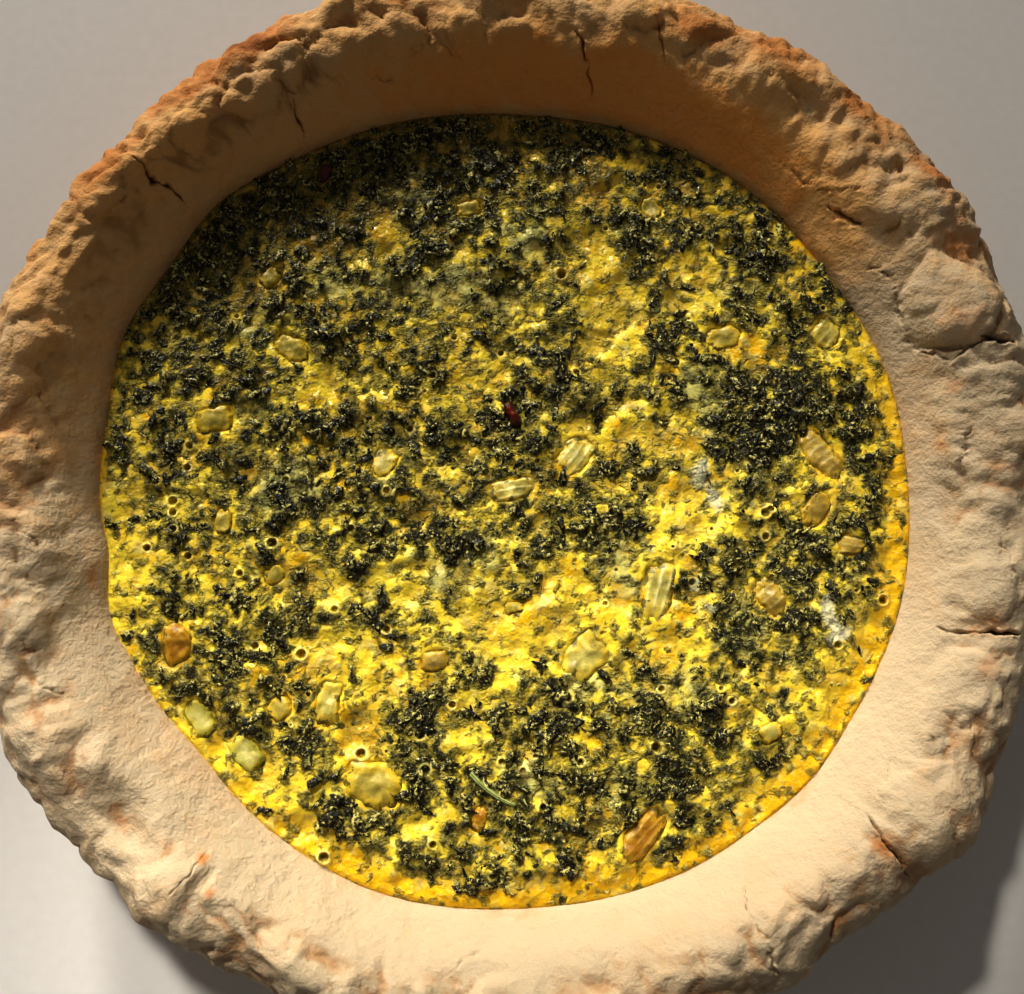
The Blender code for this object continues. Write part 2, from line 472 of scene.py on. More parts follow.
def show(
    mesh: bpy.types.Mesh, material: bpy.types.Material, slot: str, points: Array, **numbers: Array
) -> bpy.types.Object:
    """Puts a mesh in the scene under its own name, riding on the part's one body.

    Args:
        mesh: The mesh.
        material: Its finish.
        slot: The record's slot that the finish stands for; it is not used.
        points: Where its points go, in millimetres.
        numbers: The numbers kept on its points; points beyond the last of them get 0.

    Returns:
        The piece.
    """
    mesh.vertices.foreach_set("co", (points * UNIT).astype(np.float32).ravel())
    mesh.update()
    for name, values in numbers.items():
        kept = mesh.attributes.new(name, "FLOAT", "POINT")
        values = np.append(values, np.zeros(len(points) - len(values)))
        kept.data.foreach_set("value", values.astype(np.float32))
    mesh.polygons.foreach_set("use_smooth", [True] * len(mesh.polygons))
    mesh.materials.append(material)
    piece = bpy.data.objects.new(mesh.name, mesh)
    bpy.context.scene.collection.objects.link(piece)
    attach(piece, "root")
    LOG.info("%s: %d points, %d faces", mesh.name, len(points), len(mesh.polygons))
    return piece

# ---- Crust ----


@dataclass(frozen=True)
class Row:
    """One ring of the crust's section, in millimetres, and what bends it."""

    radius: float
    height: float
    wall: float = 0.0
    outer: float = 0.0
    lump: float = 0.0


SECTION = rows_of(
    Row,
    (79.5, 5), (86.4, 8, 0.1), (91.4, 18.5, 0.6), (94.7, 27, 1), (98.4, 31.1, 1, 0, 0.1),
    (102.6, 35.2, 0.8, 0, 0.35), (107, 38.6, 0.5, 0.2, 0.8), (111.2, 40.3, 0.2, 0.5, 1),
    (115, 40.5, 0, 0.8, 1), (118.4, 39.3, 0, 1, 1), (121.4, 36.9, 0, 1, 1), (123.8, 33.8, 0, 1, 1),
    (124.6, 30.6, 0, 1, 0.8), (123.2, 28, 0, 1, 0.4), (119, 26.9, 0, 0.6, 0.1), (112, 27.4, 0, 0.2),
    (106, 26.6), (102.8, 22), (96.2, 9.5), (92, 2.6), (89.8, 0.6), (87.1, 0),
)

EDGE_LOBES = rows_of(
    Lobe,
    (85, 26, -4), (34, 20, -3.2), (60, 10, -0.7), (0, 13, -1.5), (137, 10, 2.8), (159, 9, 2.7),
    (191, 4, -1.4), (201, 5, 1.3), (223, 8, -1.6), (254, 16, 2.1), (292, 24, 2), (314, 7, 0.9),
)

OUTER_LOBES = rows_of(
    Lobe,
    (109, 8, 1.7), (140, 9, -2), (153, 4, -1.5), (161, 5, 1.9), (72, 5, 1.5), (57, 5, 1), (36, 5, 1.1),
    (17, 4, -1.6), (321, 5, 2.3), (305, 5, -1.5), (209, 9, 1.7), (242, 8, -1.7),
)

SWELLS = rows_of(
    Spot,
    (20.6, 110.5, 11, 1.7), (317, 118.5, 10, 1.6), (222.4, 112.5, 8, -2.6, 1.3, 150),
    (227.4, 105.8, 6, 1.4), (232.5, 113, 7, 1.4), (215.5, 117, 6, 1.2), (163.5, 113, 9, 1.6),
    (153, 114.5, 7, -1.4), (131.5, 115, 8, -1.3), (63.5, 112.5, 8, -1.2), (48.5, 113, 7, -1.2),
    (198.5, 110, 8, 1.2), (242.7, 110.1, 4, -0.9), (316.5, 108.5, 5.5, -1), (334, 112, 5, -0.8, 1.5, 30),
    (14.5, 117.5, 4.5, -1.2),
)


# Where the inner wall turns lumpy lower down, in rows of the section
LUMPY_FROM = rows_of(Lobe, (3, 30, -1.6), (180, 24, -1.2), (136, 30, -1.7), (80, 20, 0.3))


@dataclass(frozen=True)
class Pad:
    """A pad of dough pressed on to the rim, with a crease round it (degrees and millimetres)."""

    angle: float
    radius: float
    around: float
    across: float
    height: float = 1.0
    turn: float = 0.0
    uneven: float = 0.42

    def reach(self, points: Array, seed: int) -> Array:
        """Gives how far out of the pad's middle points lie, 1 at its uneven edge.

        Args:
            points: Points in millimetres, three to a row.
            seed: The uneven edge's number.

        Returns:
            One reach for each point.
        """
        away = plan_of(points) - polar(self.angle, self.radius)
        ahead, aside = turned(away, self.angle + 90.0 + self.turn)
        edge = 1.0 + self.uneven * Field.layered(points, 7.5, seed, 3)
        return np.hypot(ahead / (0.5 * self.around), aside / (0.5 * self.across)) * edge


PADS = rows_of(
    Pad,
    (20.4, 107.4, 22, 20, 4.4, 0, 0.14), (123.9, 107, 15, 9, 2.6, 0, 0.25), (118.4, 110.6, 11, 9.5, 2),
    (111.4, 107.4, 15, 11, 2.9, 8, 0.25), (103.6, 107.6, 13, 10, 2.6, -6, 0.25),
    (95.6, 106.6, 10, 9, 2.2, 0, 0.25), (89.5, 105, 9, 8.5, 2.2, 0, 0.25), (73.8, 113.7, 12, 10, 1.4),
    (57, 112, 13, 12, 1.2), (35.9, 104.8, 13, 9, 1.2), (35.1, 118.5, 12, 9, 1.4),
    (7.2, 102, 10, 8, 1.2, 20), (3.9, 110.5, 15, 13, 1.3), (344.5, 106, 12, 16, 1.3),
    (334, 108.5, 15, 17, 1.5, 25), (321.5, 113, 15, 13, 1.5), (246, 112, 14, 9, 1, -15),
    (199, 107.5, 14, 9, 1.3, 10), (166.4, 110, 9, 7, 1.4, -20), (160.8, 114.7, 11, 8, 1.4),
    (145.6, 114.2, 13, 9, 1.5), (133, 109, 10, 9, 1.3),
)


@dataclass(frozen=True)
class Crack:
    """A split or fold line of the crust, from one place to another (degrees and millimetres)."""

    start: tuple[float, float]
    end: tuple[float, float]
    width: float = 0.22
    depth: float = 0.7
    wiggle: float = 1.1

    def close(self, points: Array) -> Array:
        """Tells which points may lie on or near the line.

        Args:
            points: Points in millimetres, three to a row.

        Returns:
            True for each such point.
        """
        first, last = polar(*self.start), polar(*self.end)
        reach = 0.5 * float(np.hypot(*(last - first))) + 4.0
        return np.hypot(*(plan_of(points) - 0.5 * (first + last)).T) < reach

    def distance(self, points: Array, seed: int) -> tuple[Array, Array]:
        """Measures how far points lie off the line, and how far along it.

        Args:
            points: Points in millimetres.
            seed: The wiggle's number.

        Returns:
            The distance off the wiggly line, and the share of the length, 0 to 1 between its ends.
        """
        first, last = polar(*self.start), polar(*self.end)
        span = last - first
        length = float(np.hypot(*span))
        ahead = span / length
        away = plan_of(points) - first
        share = away @ ahead / length
        aside = away @ np.array([-ahead[1], ahead[0]])
        aside = aside + self.wiggle * Field.layered(points, 5.0, seed, 3)
        beyond = np.maximum(np.maximum(-share, share - 1.0), 0.0) * length
        return np.hypot(aside, beyond), share


CRACKS = rows_of(
    Crack,
    ((339, 100.8), (340.2, 109), 0.35, 1.6), ((340.2, 108), (341.5, 117.1), 1, 3.2, 1.5),
    ((314.9, 106.6), (313.4, 121.2), 0.6, 2.6), ((304.9, 116.6), (303.9, 120.7), 0.5, 1.6),
    ((298.6, 102.6), (297.1, 119.7), 0.35, 1.4, 1.6), ((14.9, 109.5), (13.6, 117.2), 1, 3, 1.2),
    ((140.5, 112.5), (139.6, 100.5), 0.75, 2.4), ((119.8, 103.2), (120.5, 95.8), 0.5, 1.8),
    ((116.2, 108.5), (115.6, 102)), ((81.3, 106.5), (79, 100.5), 0.6, 2.2),
    ((79, 100.5), (77.2, 93.8), 0.35, 1.4), ((71.9, 113.5), (69, 104.4), 0.5, 1.4, 0.7),
    ((39.9, 98.2), (34.4, 100.6), 0.65, 2.2, 0.7), ((48.6, 98.6), (42.5, 98.7), 0.3, 1),
    ((42.5, 98.7), (37.8, 106)), ((30, 97.5), (25, 99.5), 0.35, 1.2), ((233.1, 104), (232.9, 113.6)),
    ((204.6, 112), (208.4, 106.5)), ((170.5, 108), (173.2, 102.6)), ((322.5, 103.5), (317, 106.5)),
    ((327, 105), (326, 113), 0.2, 0.6, 1.6), ((331, 113), (327, 117), 0.2, 0.6, 1.6),
    ((352, 108), (347, 112.5)), ((268, 101.5), (263, 108)), ((100.2, 105), (96, 99.8)),
    ((109, 100.2), (103.5, 99.6)), ((5, 104), (359, 101), 0.35, 1.2), ((187, 108), (191.5, 104)),
    ((25.5, 98.5), (17.5, 97.5), 0.3, 1.2), ((17.5, 97.5), (13.2, 103.5), 0.4, 1.6),
    ((13.2, 103.5), (14.9, 110), 0.5, 1.8),
)

TOASTED = rows_of(
    Spot,
    (121, 119, 5, 1.5, 2.2, 31), (131, 118.5, 5, 0.8, 2.2, 41), (143, 117.5, 5.5, 0.9, 2, 53),
    (104, 119.5, 6, 0.8, 2.2, 14), (88, 118, 6, 0.7, 2), (67, 115, 6, 1, 1.6, -23),
    (57, 118.5, 6, 1, 1.6, -33), (46, 119, 5.5, 0.9, 1.6, -44), (35, 120, 4.5, 1, 1.6, -55),
    (26, 117, 5, 0.8, 1.4, -64), (17.5, 108, 4.5, 0.5), (10.5, 103, 3, 0.6),
    (195.3, 95.6, 1.7, 1.9, 2.2, 100), (233, 105.4, 1.4, 0.9), (236, 109, 1.4, 0.8),
    (222.4, 112, 4.5, 0.5), (313.3, 112.9, 3.4, 0.6), (305.5, 118, 3, 0.6), (341, 109, 4, 0.6, 1.6, -20),
    (336, 112, 4, 0.5), (3, 98.5, 2.4, 0.6),
)


@dataclass(frozen=True)
class PastryFinish:
    """Baked pastry: mealy, matt and toasted brown at the tips, with painted shade in its hollows, creases
    and splits and on its far side.
    """

    cream: Colour = srgb(202, 182, 150)
    tan: Colour = srgb(232, 182, 116)
    shade_amber: Colour = srgb(240, 160, 72)
    shade: Colour = srgb(176, 130, 82)
    peach: Colour = srgb(206, 176, 138)
    toast: Colour = srgb(200, 130, 64)
    scorch: Colour = srgb(142, 78, 22)
    split: Colour = srgb(70, 38, 18)

    def material(self) -> bpy.types.Material:
        """Builds the pastry's material.

        Returns:
            The material.
        """
        graph = Graph("pastry")
        place = graph.place()
        broad = graph.noise(place, 20.0, 3.0)
        mottle = graph.noise(place, 5.0, 4.0, 0.62)
        mealy = graph.noise(place, 2.4, 3.0, 0.5)
        grain = graph.noise(place, 0.80, 3.0, 0.6)
        # Tan on the far side and the left and right, partly browning and partly painted shade.
        baked_and_shaded = graph.attribute("baked_and_shaded") + (broad - 0.5) * 0.7 + (mottle - 0.5) * 0.5
        # Painted shade in the hollows and creases.
        sunk = graph.attribute("hollow") + (mottle - 0.5) * 0.9 + (mealy - 0.5) * 0.5
        browned = graph.attribute("toast") + (mottle - 0.5) * 1.0 + (mealy - 0.5) * 0.4
        colour = graph.coats(
            self.cream,
            (self.peach, broad + (mottle - 0.5) * 0.4, 0.46, 0.70, 0.5),
            (self.tan, baked_and_shaded, 0.10, 1.0, 1.0),
            # Painted shade on the far inner wall.
            (self.shade_amber, baked_and_shaded + (mottle - 0.5) * 1.2, 1.0, 1.9, 0.75),
            (self.shade, sunk, 0.25, 1.05, 0.70),
            (self.toast, browned, 0.15, 1.05, 0.85),
            (self.scorch, browned, 1.0, 1.6, 0.85),
            (self.tan, grain, 0.56, 0.74, 0.25),
            # Dark lines in the splits and creases: partly the splits' own colour, partly painted shade.
            (self.split, graph.attribute("split") + (mealy - 0.5) * 0.3, 0.35, 0.95, 0.9),
        )
        relief = mealy * 0.7 + mottle * 0.5 + grain * 0.30
        return graph.finish(
            Base_Color=colour,
            Roughness=0.78,
            IOR=1.4,
            Specular_IOR_Level=0.35,
            Subsurface_Weight=0.10,
            Subsurface_Radius=(1.0, 0.55, 0.3),
            Subsurface_Scale=0.0010,
            Normal=graph.bump(relief, 1.0, 0.9),
        )


@dataclass
class Crust:
    """The pastry: a spun section with pinches, pads, mounds, wrinkles and splits put in (millimetres)."""

    steps: int = 240
    cuts: int = 3
    edge_row: int = 3
    under_row: int = 14
    lumpy_row: float = 5.7
    waviness: float = 1.6
    wall_wave: float = 0.40
    wall_grain: float = 0.14
    wrinkle_depth: float = 0.22
    split_height: float = 29.0
    pad_seed: int = 400
    crack_seed: int = 200
    finish: PastryFinish = field(default_factory=PastryFinish)

    def section(self, along: Array) -> dict[str, Array]:
        """Reads the section smoothly between its rows.

        Args:
            along: Places along the section, in rows.

        Returns:
            Each named value of the rows, at those places.
        """
        last = len(SECTION) - 1
        first = np.clip(np.floor(along), 0, last - 1).astype(int)
        share = along - first
        values = {}
        for name in ("radius", "height", "wall", "outer", "lump"):
            column = np.array([getattr(row, name) for row in SECTION])
            before, start = column[np.maximum(first - 1, 0)], column[first]
            end, after = column[first + 1], column[np.minimum(first + 2, last)]
            curve = 2.0 * start + (end - before) * share
            curve += (2.0 * before - 5.0 * start + 4.0 * end - after) * share**2
            curve += (3.0 * (start - end) + after - before) * share**3
            values[name] = 0.5 * curve
        return values

    def base(self, angles: Array, along: Array) -> tuple[Array, Array, Array]:
        """Places points on the crust before its lumps.

        Args:
            angles: Angles in degrees.
            along: Places along the section, in rows.

        Returns:
            The points, the outward directions, and how much each takes lumps.
        """
        row = self.section(along)
        edge, outer = lobed(EDGE_LOBES, angles), lobed(OUTER_LOBES, angles)
        radius = row["radius"] + row["wall"] * edge + row["outer"] * outer
        ahead, behind = self.section(along + 0.05), self.section(along - 0.05)
        out = -(ahead["height"] - behind["height"])
        up = ahead["radius"] - behind["radius"]
        length = np.hypot(out, up)
        turn = np.radians(angles)
        cos, sin = np.cos(turn), np.sin(turn)
        points = np.stack([radius * cos, radius * sin, row["height"]], axis=1)
        normals = np.stack([out / length * cos, out / length * sin, up / length], axis=1)
        return points, normals, row["lump"]

    def roughness_start(self, angles: Array, points: Array) -> Array:
        """Gives the row at which the smooth inner wall turns lumpy, at each angle."""
        return self.lumpy_row + lobed(LUMPY_FROM, angles) + 0.5 * Field.smooth(points, 13.0, 41)

    def mounds(self, points: Array) -> tuple[Array, Array]:
        """Gives the rim's soft mounds of every size, and how hollow each place is.

        Args:
            points: Points in millimetres, three to a row.

        Returns:
            The push outward in millimetres, and the hollowness, 0 to 1, which sets the painted shade.
        """
        warp = np.stack([Field.layered(points, 10.0, seed, 2) for seed in (51, 52, 53)], axis=1) * 3.0
        bent = points + warp
        calm = smoothstep(-0.60, 0.10, Field.smooth(points, 26.0, 47))
        large = Field.smooth(bent, 15.0, 7)
        swell = Field.pillows(bent, 13.0, 11)
        bulge = Field.pillows(bent + 40.0, 7.0, 13)
        small = Field.smooth(bent, 4.2, 17)
        push = 1.5 * large + calm * (1.9 * swell + 0.9 * bulge) + 0.75 * small - 1.7
        crisp = 0.45 + 0.75 * smoothstep(-20.0, 70.0, points[:, 1])
        ridge = 0.25 - np.abs(Field.layered(bent, 8.0, 19, 3))
        push += crisp * (1.0 * ridge + 0.34 * Field.smooth(points, 2.3, 23))
        hollow = smoothstep(0.50, 0.10, swell) + 0.6 * smoothstep(0.45, 0.10, bulge)
        dips = 0.5 * smoothstep(0.1, -0.5, large) + 0.3 * smoothstep(0.0, -0.5, small)
        return push, np.clip(calm * 0.8 * hollow + dips, 0.0, 1.0)

    def pads(self, points: Array, push: Array, hollow: Array) -> None:
        """Lays the pads of dough on to the rim's relief.

        Args:
            points: Points in millimetres, three to a row.
            push: The relief in millimetres, which is changed.
            hollow: The hollowness, which is changed.
        """
        for number, pad in enumerate(PADS):
            near = np.hypot(*(plan_of(points) - polar(pad.angle, pad.radius)).T) < pad.around
            reach = pad.reach(points[near], self.pad_seed + number)
            crease = np.exp(-(((reach - 1.04) / 0.07) ** 2))
            crease *= smoothstep(-0.25, 0.25, Field.smooth(points[near], 9.0, self.pad_seed + 30 + number))
            dome = np.clip(1.0 - reach**3, 0.0, 1.0) ** 0.6
            blend = smoothstep(1.10, 0.85, reach)
            push[near] += pad.height * (0.85 * dome - 0.15 * blend) - 0.3 * blend * push[near]
            push[near] -= 0.35 * crease * pad.height
            # The crease round each pad gets painted shade.
            hollow[near] = np.maximum(hollow[near] * (1.0 - 0.7 * dome), 0.9 * crease)

    def split_open(self, points: Array, along: Array, push: Array) -> Array:
        """Cuts the splits into the relief, and gives how far inside one each place is.

        Args:
            points: Points in millimetres, three to a row.
            along: Places along the section, in rows.
            push: The relief in millimetres, which is changed.

        Returns:
            How far inside a split each point is, 0 to 1.
        """
        split = np.zeros(len(points))
        above = smoothstep(13.6, 12.6, along)
        for number, crack in enumerate(CRACKS):
            near = crack.close(points)
            away, share = crack.distance(points[near], self.crack_seed + number)
            uneven = 0.75 + 0.9 * Field.smooth(points[near], 2.6, self.crack_seed + 40 + number)
            taper = np.sqrt(np.clip(4.0 * share * (1.0 - share), 0.02, 1.0)) * np.clip(uneven, 0.25, 1.5)
            groove = np.clip(1.0 - away / (crack.width * taper + 0.10), 0.0, 1.0)
            lip = np.exp(-((away / (crack.width + 1.0)) ** 2)) * taper
            push[near] += above[near] * (0.35 * crack.width * lip - crack.depth * groove * taper)
            # How dark the split is painted: partly its own colour, partly painted shade.
            line = groove**0.8 * above[near] * min(1.0, 0.55 + 0.5 * crack.width)
            split[near] = np.maximum(split[near], line)
        return split

    def shape(self, angles: Array, along: Array) -> dict[str, Array]:
        """Works out the finished surface.

        Args:
            angles: Angles in degrees.
            along: Places along the section, in rows.

        Returns:
            The points in millimetres, and the numbers that colour them.
        """
        points, normals, lump = self.base(angles, along)
        start = self.roughness_start(angles, points)
        under = smoothstep(14.8, 13.2, along)
        rough = smoothstep(-0.7, 1.1, along - start) * under
        wall = smoothstep(2.6, 3.6, along) * (1.0 - rough) * under
        push = self.waviness * Field.smooth(points, 19.0, 1) * lump
        push += spotted(SWELLS, plan_of(points)) * lump
        relief, hollow = self.mounds(points)
        self.pads(points, relief, hollow)
        push += rough * relief
        waves = self.wall_wave * Field.smooth(points, 9.0, 29)
        push += wall * (waves + self.wall_grain * Field.smooth(points, 3.4, 31))
        # The hollowness sets the painted shade in the rim's hollows and creases, and a little on the smooth
        # wall.
        hollow = rough * hollow + 0.10 * wall
        split = self.split_open(points, along, push)
        wrinkle, veil = self.wrinkles(points)
        push -= self.wrinkle_depth * wrinkle * veil * (0.3 * wall + rough)
        # Fine creases are painted dark too, as painted shade.
        split = np.maximum(split, 0.42 * wrinkle * veil * (0.2 * wall + rough))
        upper = smoothstep(3.2, 3.8, along) * smoothstep(15.0, 13.0, along)
        toast = spotted(TOASTED, plan_of(points)) * upper
        # How far towards the far side each point lies; the far side gets browner tips and painted shade.
        north = smoothstep(-0.3, 0.9, np.sin(np.radians(angles - 15.0)))
        tips = smoothstep(9.0, 11.5, along) * smoothstep(15.0, 12.5, along)
        toast += tips * (0.12 + 0.5 * north) * (1.0 - 0.6 * hollow)
        # A browner band at the foot of the inner wall, just above the egg.
        sunk = smoothstep(3.7, 3.05, along) * smoothstep(2.0, 2.9, along)
        toast += 0.4 * sunk * (0.5 + 0.8 * Field.smooth(points, 12.0, 33))
        finished = points + normals * push[:, None]
        side = np.abs(np.cos(np.radians(angles)))
        # Tan towards the far side and the left and right: partly browning, partly painted shade.
        baked_and_shaded = 0.85 * north + 0.18 * side - 0.12
        # Painted shade on the far left inner wall, which faces away from the key lamp.
        baked_and_shaded += 1.1 * wall * smoothstep(0.3, 1.0, north) * smoothstep(-80.0, 0.0, points[:, 0])
        return {"points": finished, "hollow": hollow, "toast": toast, "split": split, "baked_and_shaded": baked_and_shaded}

    def wrinkles(self, points: Array) -> tuple[Array, Array]:
        """Gives fine crease lines, and a veil that keeps them to a few places.

        Args:
            points: Points in millimetres, three to a row.

        Returns:
            The lines and the veil, each 0 to 1.
        """
        line = np.abs(Field.layered(points, 12.0, 61, 4))
        veil = smoothstep(0.05, 0.40, Field.smooth(points, 19.0, 67))
        return smoothstep(0.045, 0.0, line), veil

    def near_cracks(self, points: Array) -> Array:
        """Tells which points lie close to a split, where the mesh has to be finer.

        Args:
            points: Points in millimetres, three to a row.

        Returns:
            True for each such point.
        """
        near = np.zeros(len(points), bool)
        for number, crack in enumerate(CRACKS):
            close = crack.close(points)
            away, _ = crack.distance(points[close], self.crack_seed + number)
            near[close] |= away < crack.width + 0.9
        return near & (points[:, 2] > self.split_height)

    def build(self) -> bpy.types.Object:
        """Makes the crust piece, which stands for the CAD crust.

        Returns:
            The piece.
        """
        shape = bmesh.new()
        kept = shape.verts.layers.float.new("along")
        last = len(SECTION) - 1
        rows = [0.0, *np.linspace(self.edge_row - 0.4, self.under_row, 15), 16.3, 18.6, float(last)]
        profile = []
        for along in rows:
            values = self.section(np.array([along]))
            vert = shape.verts.new((values["radius"][0], 0.0, values["height"][0]))
            vert[kept] = along
            profile.append(vert)
        edges = [shape.edges.new(pair) for pair in zip(profile, profile[1:])]
        bmesh.ops.spin(
            shape,
            geom=profile + edges,
            cent=(0.0, 0.0, 0.0),
            axis=(0.0, 0.0, 1.0),
            dvec=(0.0, 0.0, 0.0),
            angle=2.0 * math.pi,
            steps=self.steps,
            use_merge=True,
            use_duplicate=False,
        )
        bmesh.ops.holes_fill(shape, edges=[e for e in shape.edges if e.is_boundary], sides=0)
        bmesh.ops.recalc_face_normals(shape, faces=shape.faces)
        ribs = [edge for edge in shape.edges if all(len(face.verts) == 4 for face in edge.link_faces)]
        bmesh.ops.subdivide_edges(shape, edges=ribs, cuts=self.cuts, use_grid_fill=True)
        angles, along = self.coordinates(shape, kept)
        near = self.near_cracks(self.base(angles, along)[0])
        fine = [edge for edge in shape.edges if near[edge.verts[0].index] and near[edge.verts[1].index]]
        bmesh.ops.subdivide_edges(shape, edges=fine, cuts=2, use_grid_fill=True)
        angles, along = self.coordinates(shape, kept)
        made = self.shape(angles, along)
        piece = show(meshed("crust_pastry", shape), self.finish.material(), "pastry", **made)
        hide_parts("crust")
        return piece

    @staticmethod
    def coordinates(shape: bmesh.types.BMesh, kept: Any) -> tuple[Array, Array]:
        """Reads each point's angle in degrees and its place along the section.

        Args:
            shape: The crust's shape.
            kept: The layer that keeps the place along the section.

        Returns:
            The angles and the places.
        """
        shape.verts.ensure_lookup_table()
        shape.verts.index_update()
        angles = np.degrees([math.atan2(vert.co.y, vert.co.x) for vert in shape.verts])
        return angles, np.array([vert[kept] for vert in shape.verts])


# ---- Onion places ----


class Cooked(Enum):
    """How a piece of onion has cooked."""

    CLEAR = "clear"
    PALE = "pale"
    GREEN = "green"
    TAWNY = "tawny"
    BROWNED = "browned"
    BURNT = "burnt"


class Lines(Enum):
    """Which way a piece of onion's pale lines run."""

    NONE = 0
    ALONG = 1
    ACROSS = 2


@dataclass(frozen=True)
class Onion:
    """One piece of cooked onion: its place in the filling and its size (millimetres)."""

    angle: float
    radius: float
    heading: float
    length: float
    width: float
    cooked: Cooked = Cooked.CLEAR
    lines: Lines = Lines.NONE
    lift: float = 0.0
    arch: float = 0.5

    def local(self, plan: Array) -> Array:
        """Gives plan points in the piece's own length and width, about 1 at its rim."""
        ahead, aside = turned(plan - polar(self.angle, self.radius), self.heading)
        return np.stack([2.0 * ahead / self.length, 2.0 * aside / self.width], axis=1)

    def rim(self, own: Array) -> Array:
        """Gives how far out the uneven rim lies in the direction of points in the piece's own sizes.

        Args:
            own: Points as shares of half the length and half the width.

        Returns:
            The rim's reach, about 1.
        """
        reach = np.maximum(np.hypot(own[:, 0], own[:, 1]), 1e-6)
        ring = own / reach[:, None]
        blunt = np.maximum((np.abs(ring) ** 3).sum(axis=1), 0.1) ** (-1.0 / 3.0)
        key = raised(ring * 1.6, self.angle + self.radius)
        return blunt * (0.94 + 0.16 * Field.layered(key, 1.0, 311, 2))

    def reach(self, plan: Array) -> Array:
        """Gives how far out of the piece's middle plan points lie, 1 at its rim.

        Args:
            plan: Plan points in millimetres, two to a row.

        Returns:
            One reach for each point.
        """
        own = self.local(plan)
        reach = np.hypot(own[:, 0], own[:, 1])
        near = reach < 1.8
        reach[near] /= self.rim(own[near])
        return reach


ONIONS = rows_of(
    Onion,
    (149.4, 59.1, 147, 10.5, 6.5), (169.5, 69.3, 8, 10, 7.4),
    (289.5, 4, 15, 12, 6, Cooked.PALE, Lines.ALONG, 0, 0.8), (175.3, 28.6, 60, 8, 6.5, Cooked.PALE),
    (321.4, 43.7, 76, 15, 8, Cooked.PALE, Lines.ALONG, 0.3, 0.7),
    (292.4, 45.8, 45, 13, 10, Cooked.PALE, Lines.NONE, -0.2),
    (247.1, 75.5, 165, 14, 10.5, Cooked.CLEAR, Lines.NONE, 0.7, 0.3),
    (232.8, 65.6, 78, 11.5, 6.5, Cooked.PALE),
    (207.9, 83.9, 100, 10.5, 8.5, Cooked.BROWNED, Lines.NONE, 0.3, 0.9),
    (219.2, 88, 126, 10.5, 6, Cooked.GREEN, Lines.NONE, 0, 0.3),
    (227.8, 85.5, 140, 10.5, 7, Cooked.GREEN, Lines.NONE, 0, 0.3),
    (3.2, 72.8, 127, 14, 7.5, Cooked.TAWNY, Lines.ACROSS, 0.2, 0.8),
    (24, 82.6, 62, 8.5, 7.5, Cooked.CLEAR, Lines.ALONG),
    (353.2, 71.4, 62, 10, 6.5, Cooked.TAWNY, Lines.NONE, 0.2),
    (334.5, 66, 125, 10.5, 6.5, Cooked.TAWNY, Lines.ACROSS, 0.2),
    (290.2, 86, 50, 15, 7.5, Cooked.BROWNED, Lines.ALONG, 0, 0.8), (32.5, 60.7, 10, 10, 6.5),
    (249.4, 45.9, 10, 8, 5.5, Cooked.TAWNY), (14.4, 16.2, 60, 11, 8, Cooked.PALE, Lines.ALONG, -0.3),
)

# Smaller shreds, too small to be parts of their own
SHREDS = rows_of(
    Onion,
    (347.9, 80.1, -5, 7.5, 5.5, Cooked.TAWNY, Lines.ALONG, 0.2), (226.6, 73.4, 30, 6.5, 6),
    (85.4, 13.9, 118, 8, 3, Cooked.BURNT, Lines.NONE, 1.2, 1.4),
    (265.5, 77.5, 80, 6.5, 4, Cooked.BROWNED), (314.8, 82.6, 30, 6, 5, Cooked.PALE, Lines.NONE, 0.4, 0.9),
    (120.8, 87, 70, 6, 4, Cooked.BURNT, Lines.NONE, 0, 0.3), (272.9, 31, 10, 5.5, 3),
    (140, 74, 40, 6.5, 5), (98, 66, 10, 7, 4.5), (62, 74, 120, 7, 5, Cooked.CLEAR, Lines.ALONG),
    (190, 66, 80, 6.5, 4.5), (204, 58, 20, 6, 4.5),
)


# ---- Filling ----

# Patches of egg with little leaf in them
CLEAR_EGG = (
    *patches(6.0, 1.0, (57, 46), (274, 38), (345, 43), (227, 58), (240, 68), (62, 51), (50, 42)),
    *patches(5.0, 0.9, (302, 36), (295, 29), (283, 33), (259, 34), (226, 35), (22, 33), (25, 19)),
    *patches(4.5, 0.8, (28, 62), (44, 64), (109, 45), (116, 64), (154, 46), (241, 49), (262, 61)),
    *patches(4.5, 1.1, (193, 88), (287, 97), (310, 97), (347, 91), (233, 89), (259, 95), (315, 55)),
    *patches(5.0, 1.2, (328, 93), (334, 93), (321, 94), (315, 96), (303, 98), (296, 98), (278, 97)),
    *patches(4.0, 0.9, (351, 93), (356, 92), (340, 93), (225, 92), (240, 93), (185, 91), (200, 92)),
    *patches(4.0, 0.8, (336, 42), (352, 38), (316, 35), (270, 44), (216, 47), (233, 52), (70, 60)),
)

# Heaps of leaf
LEAF_HEAPS = (
    *patches(6.5, 1.3, (10, 63), (13, 68), (7, 58)),
    *patches(4.0, 1.0, (43, 48), (215, 75), (274, 79), (261, 45), (280, 60), (282, 71), (266, 91)),
    *patches(4.0, 0.9, (253, 72), (250, 58), (300, 74), (297, 79), (300, 64), (309, 71), (311, 85)),
    *patches(3.8, 0.9, (293, 91), (215, 89), (237, 75), (243, 83), (256, 89), (193, 75), (165, 49)),
    *patches(3.8, 0.9, (191, 52), (214, 40), (232, 19), (278, 28), (147, 18), (338, 30), (340, 70)),
    *patches(3.8, 0.8, (353, 90), (325, 61), (142, 92), (138, 70), (120, 86), (140, 55), (92, 79)),
    *patches(4.0, 0.8, (74, 85), (115, 58), (58, 59), (69, 29), (40, 78), (30, 91), (14, 84)),
    *patches(3.6, 0.8, (23, 60), (63, 84), (272, 38), (333, 71), (330, 75), (20, 74), (0, 82)),
)

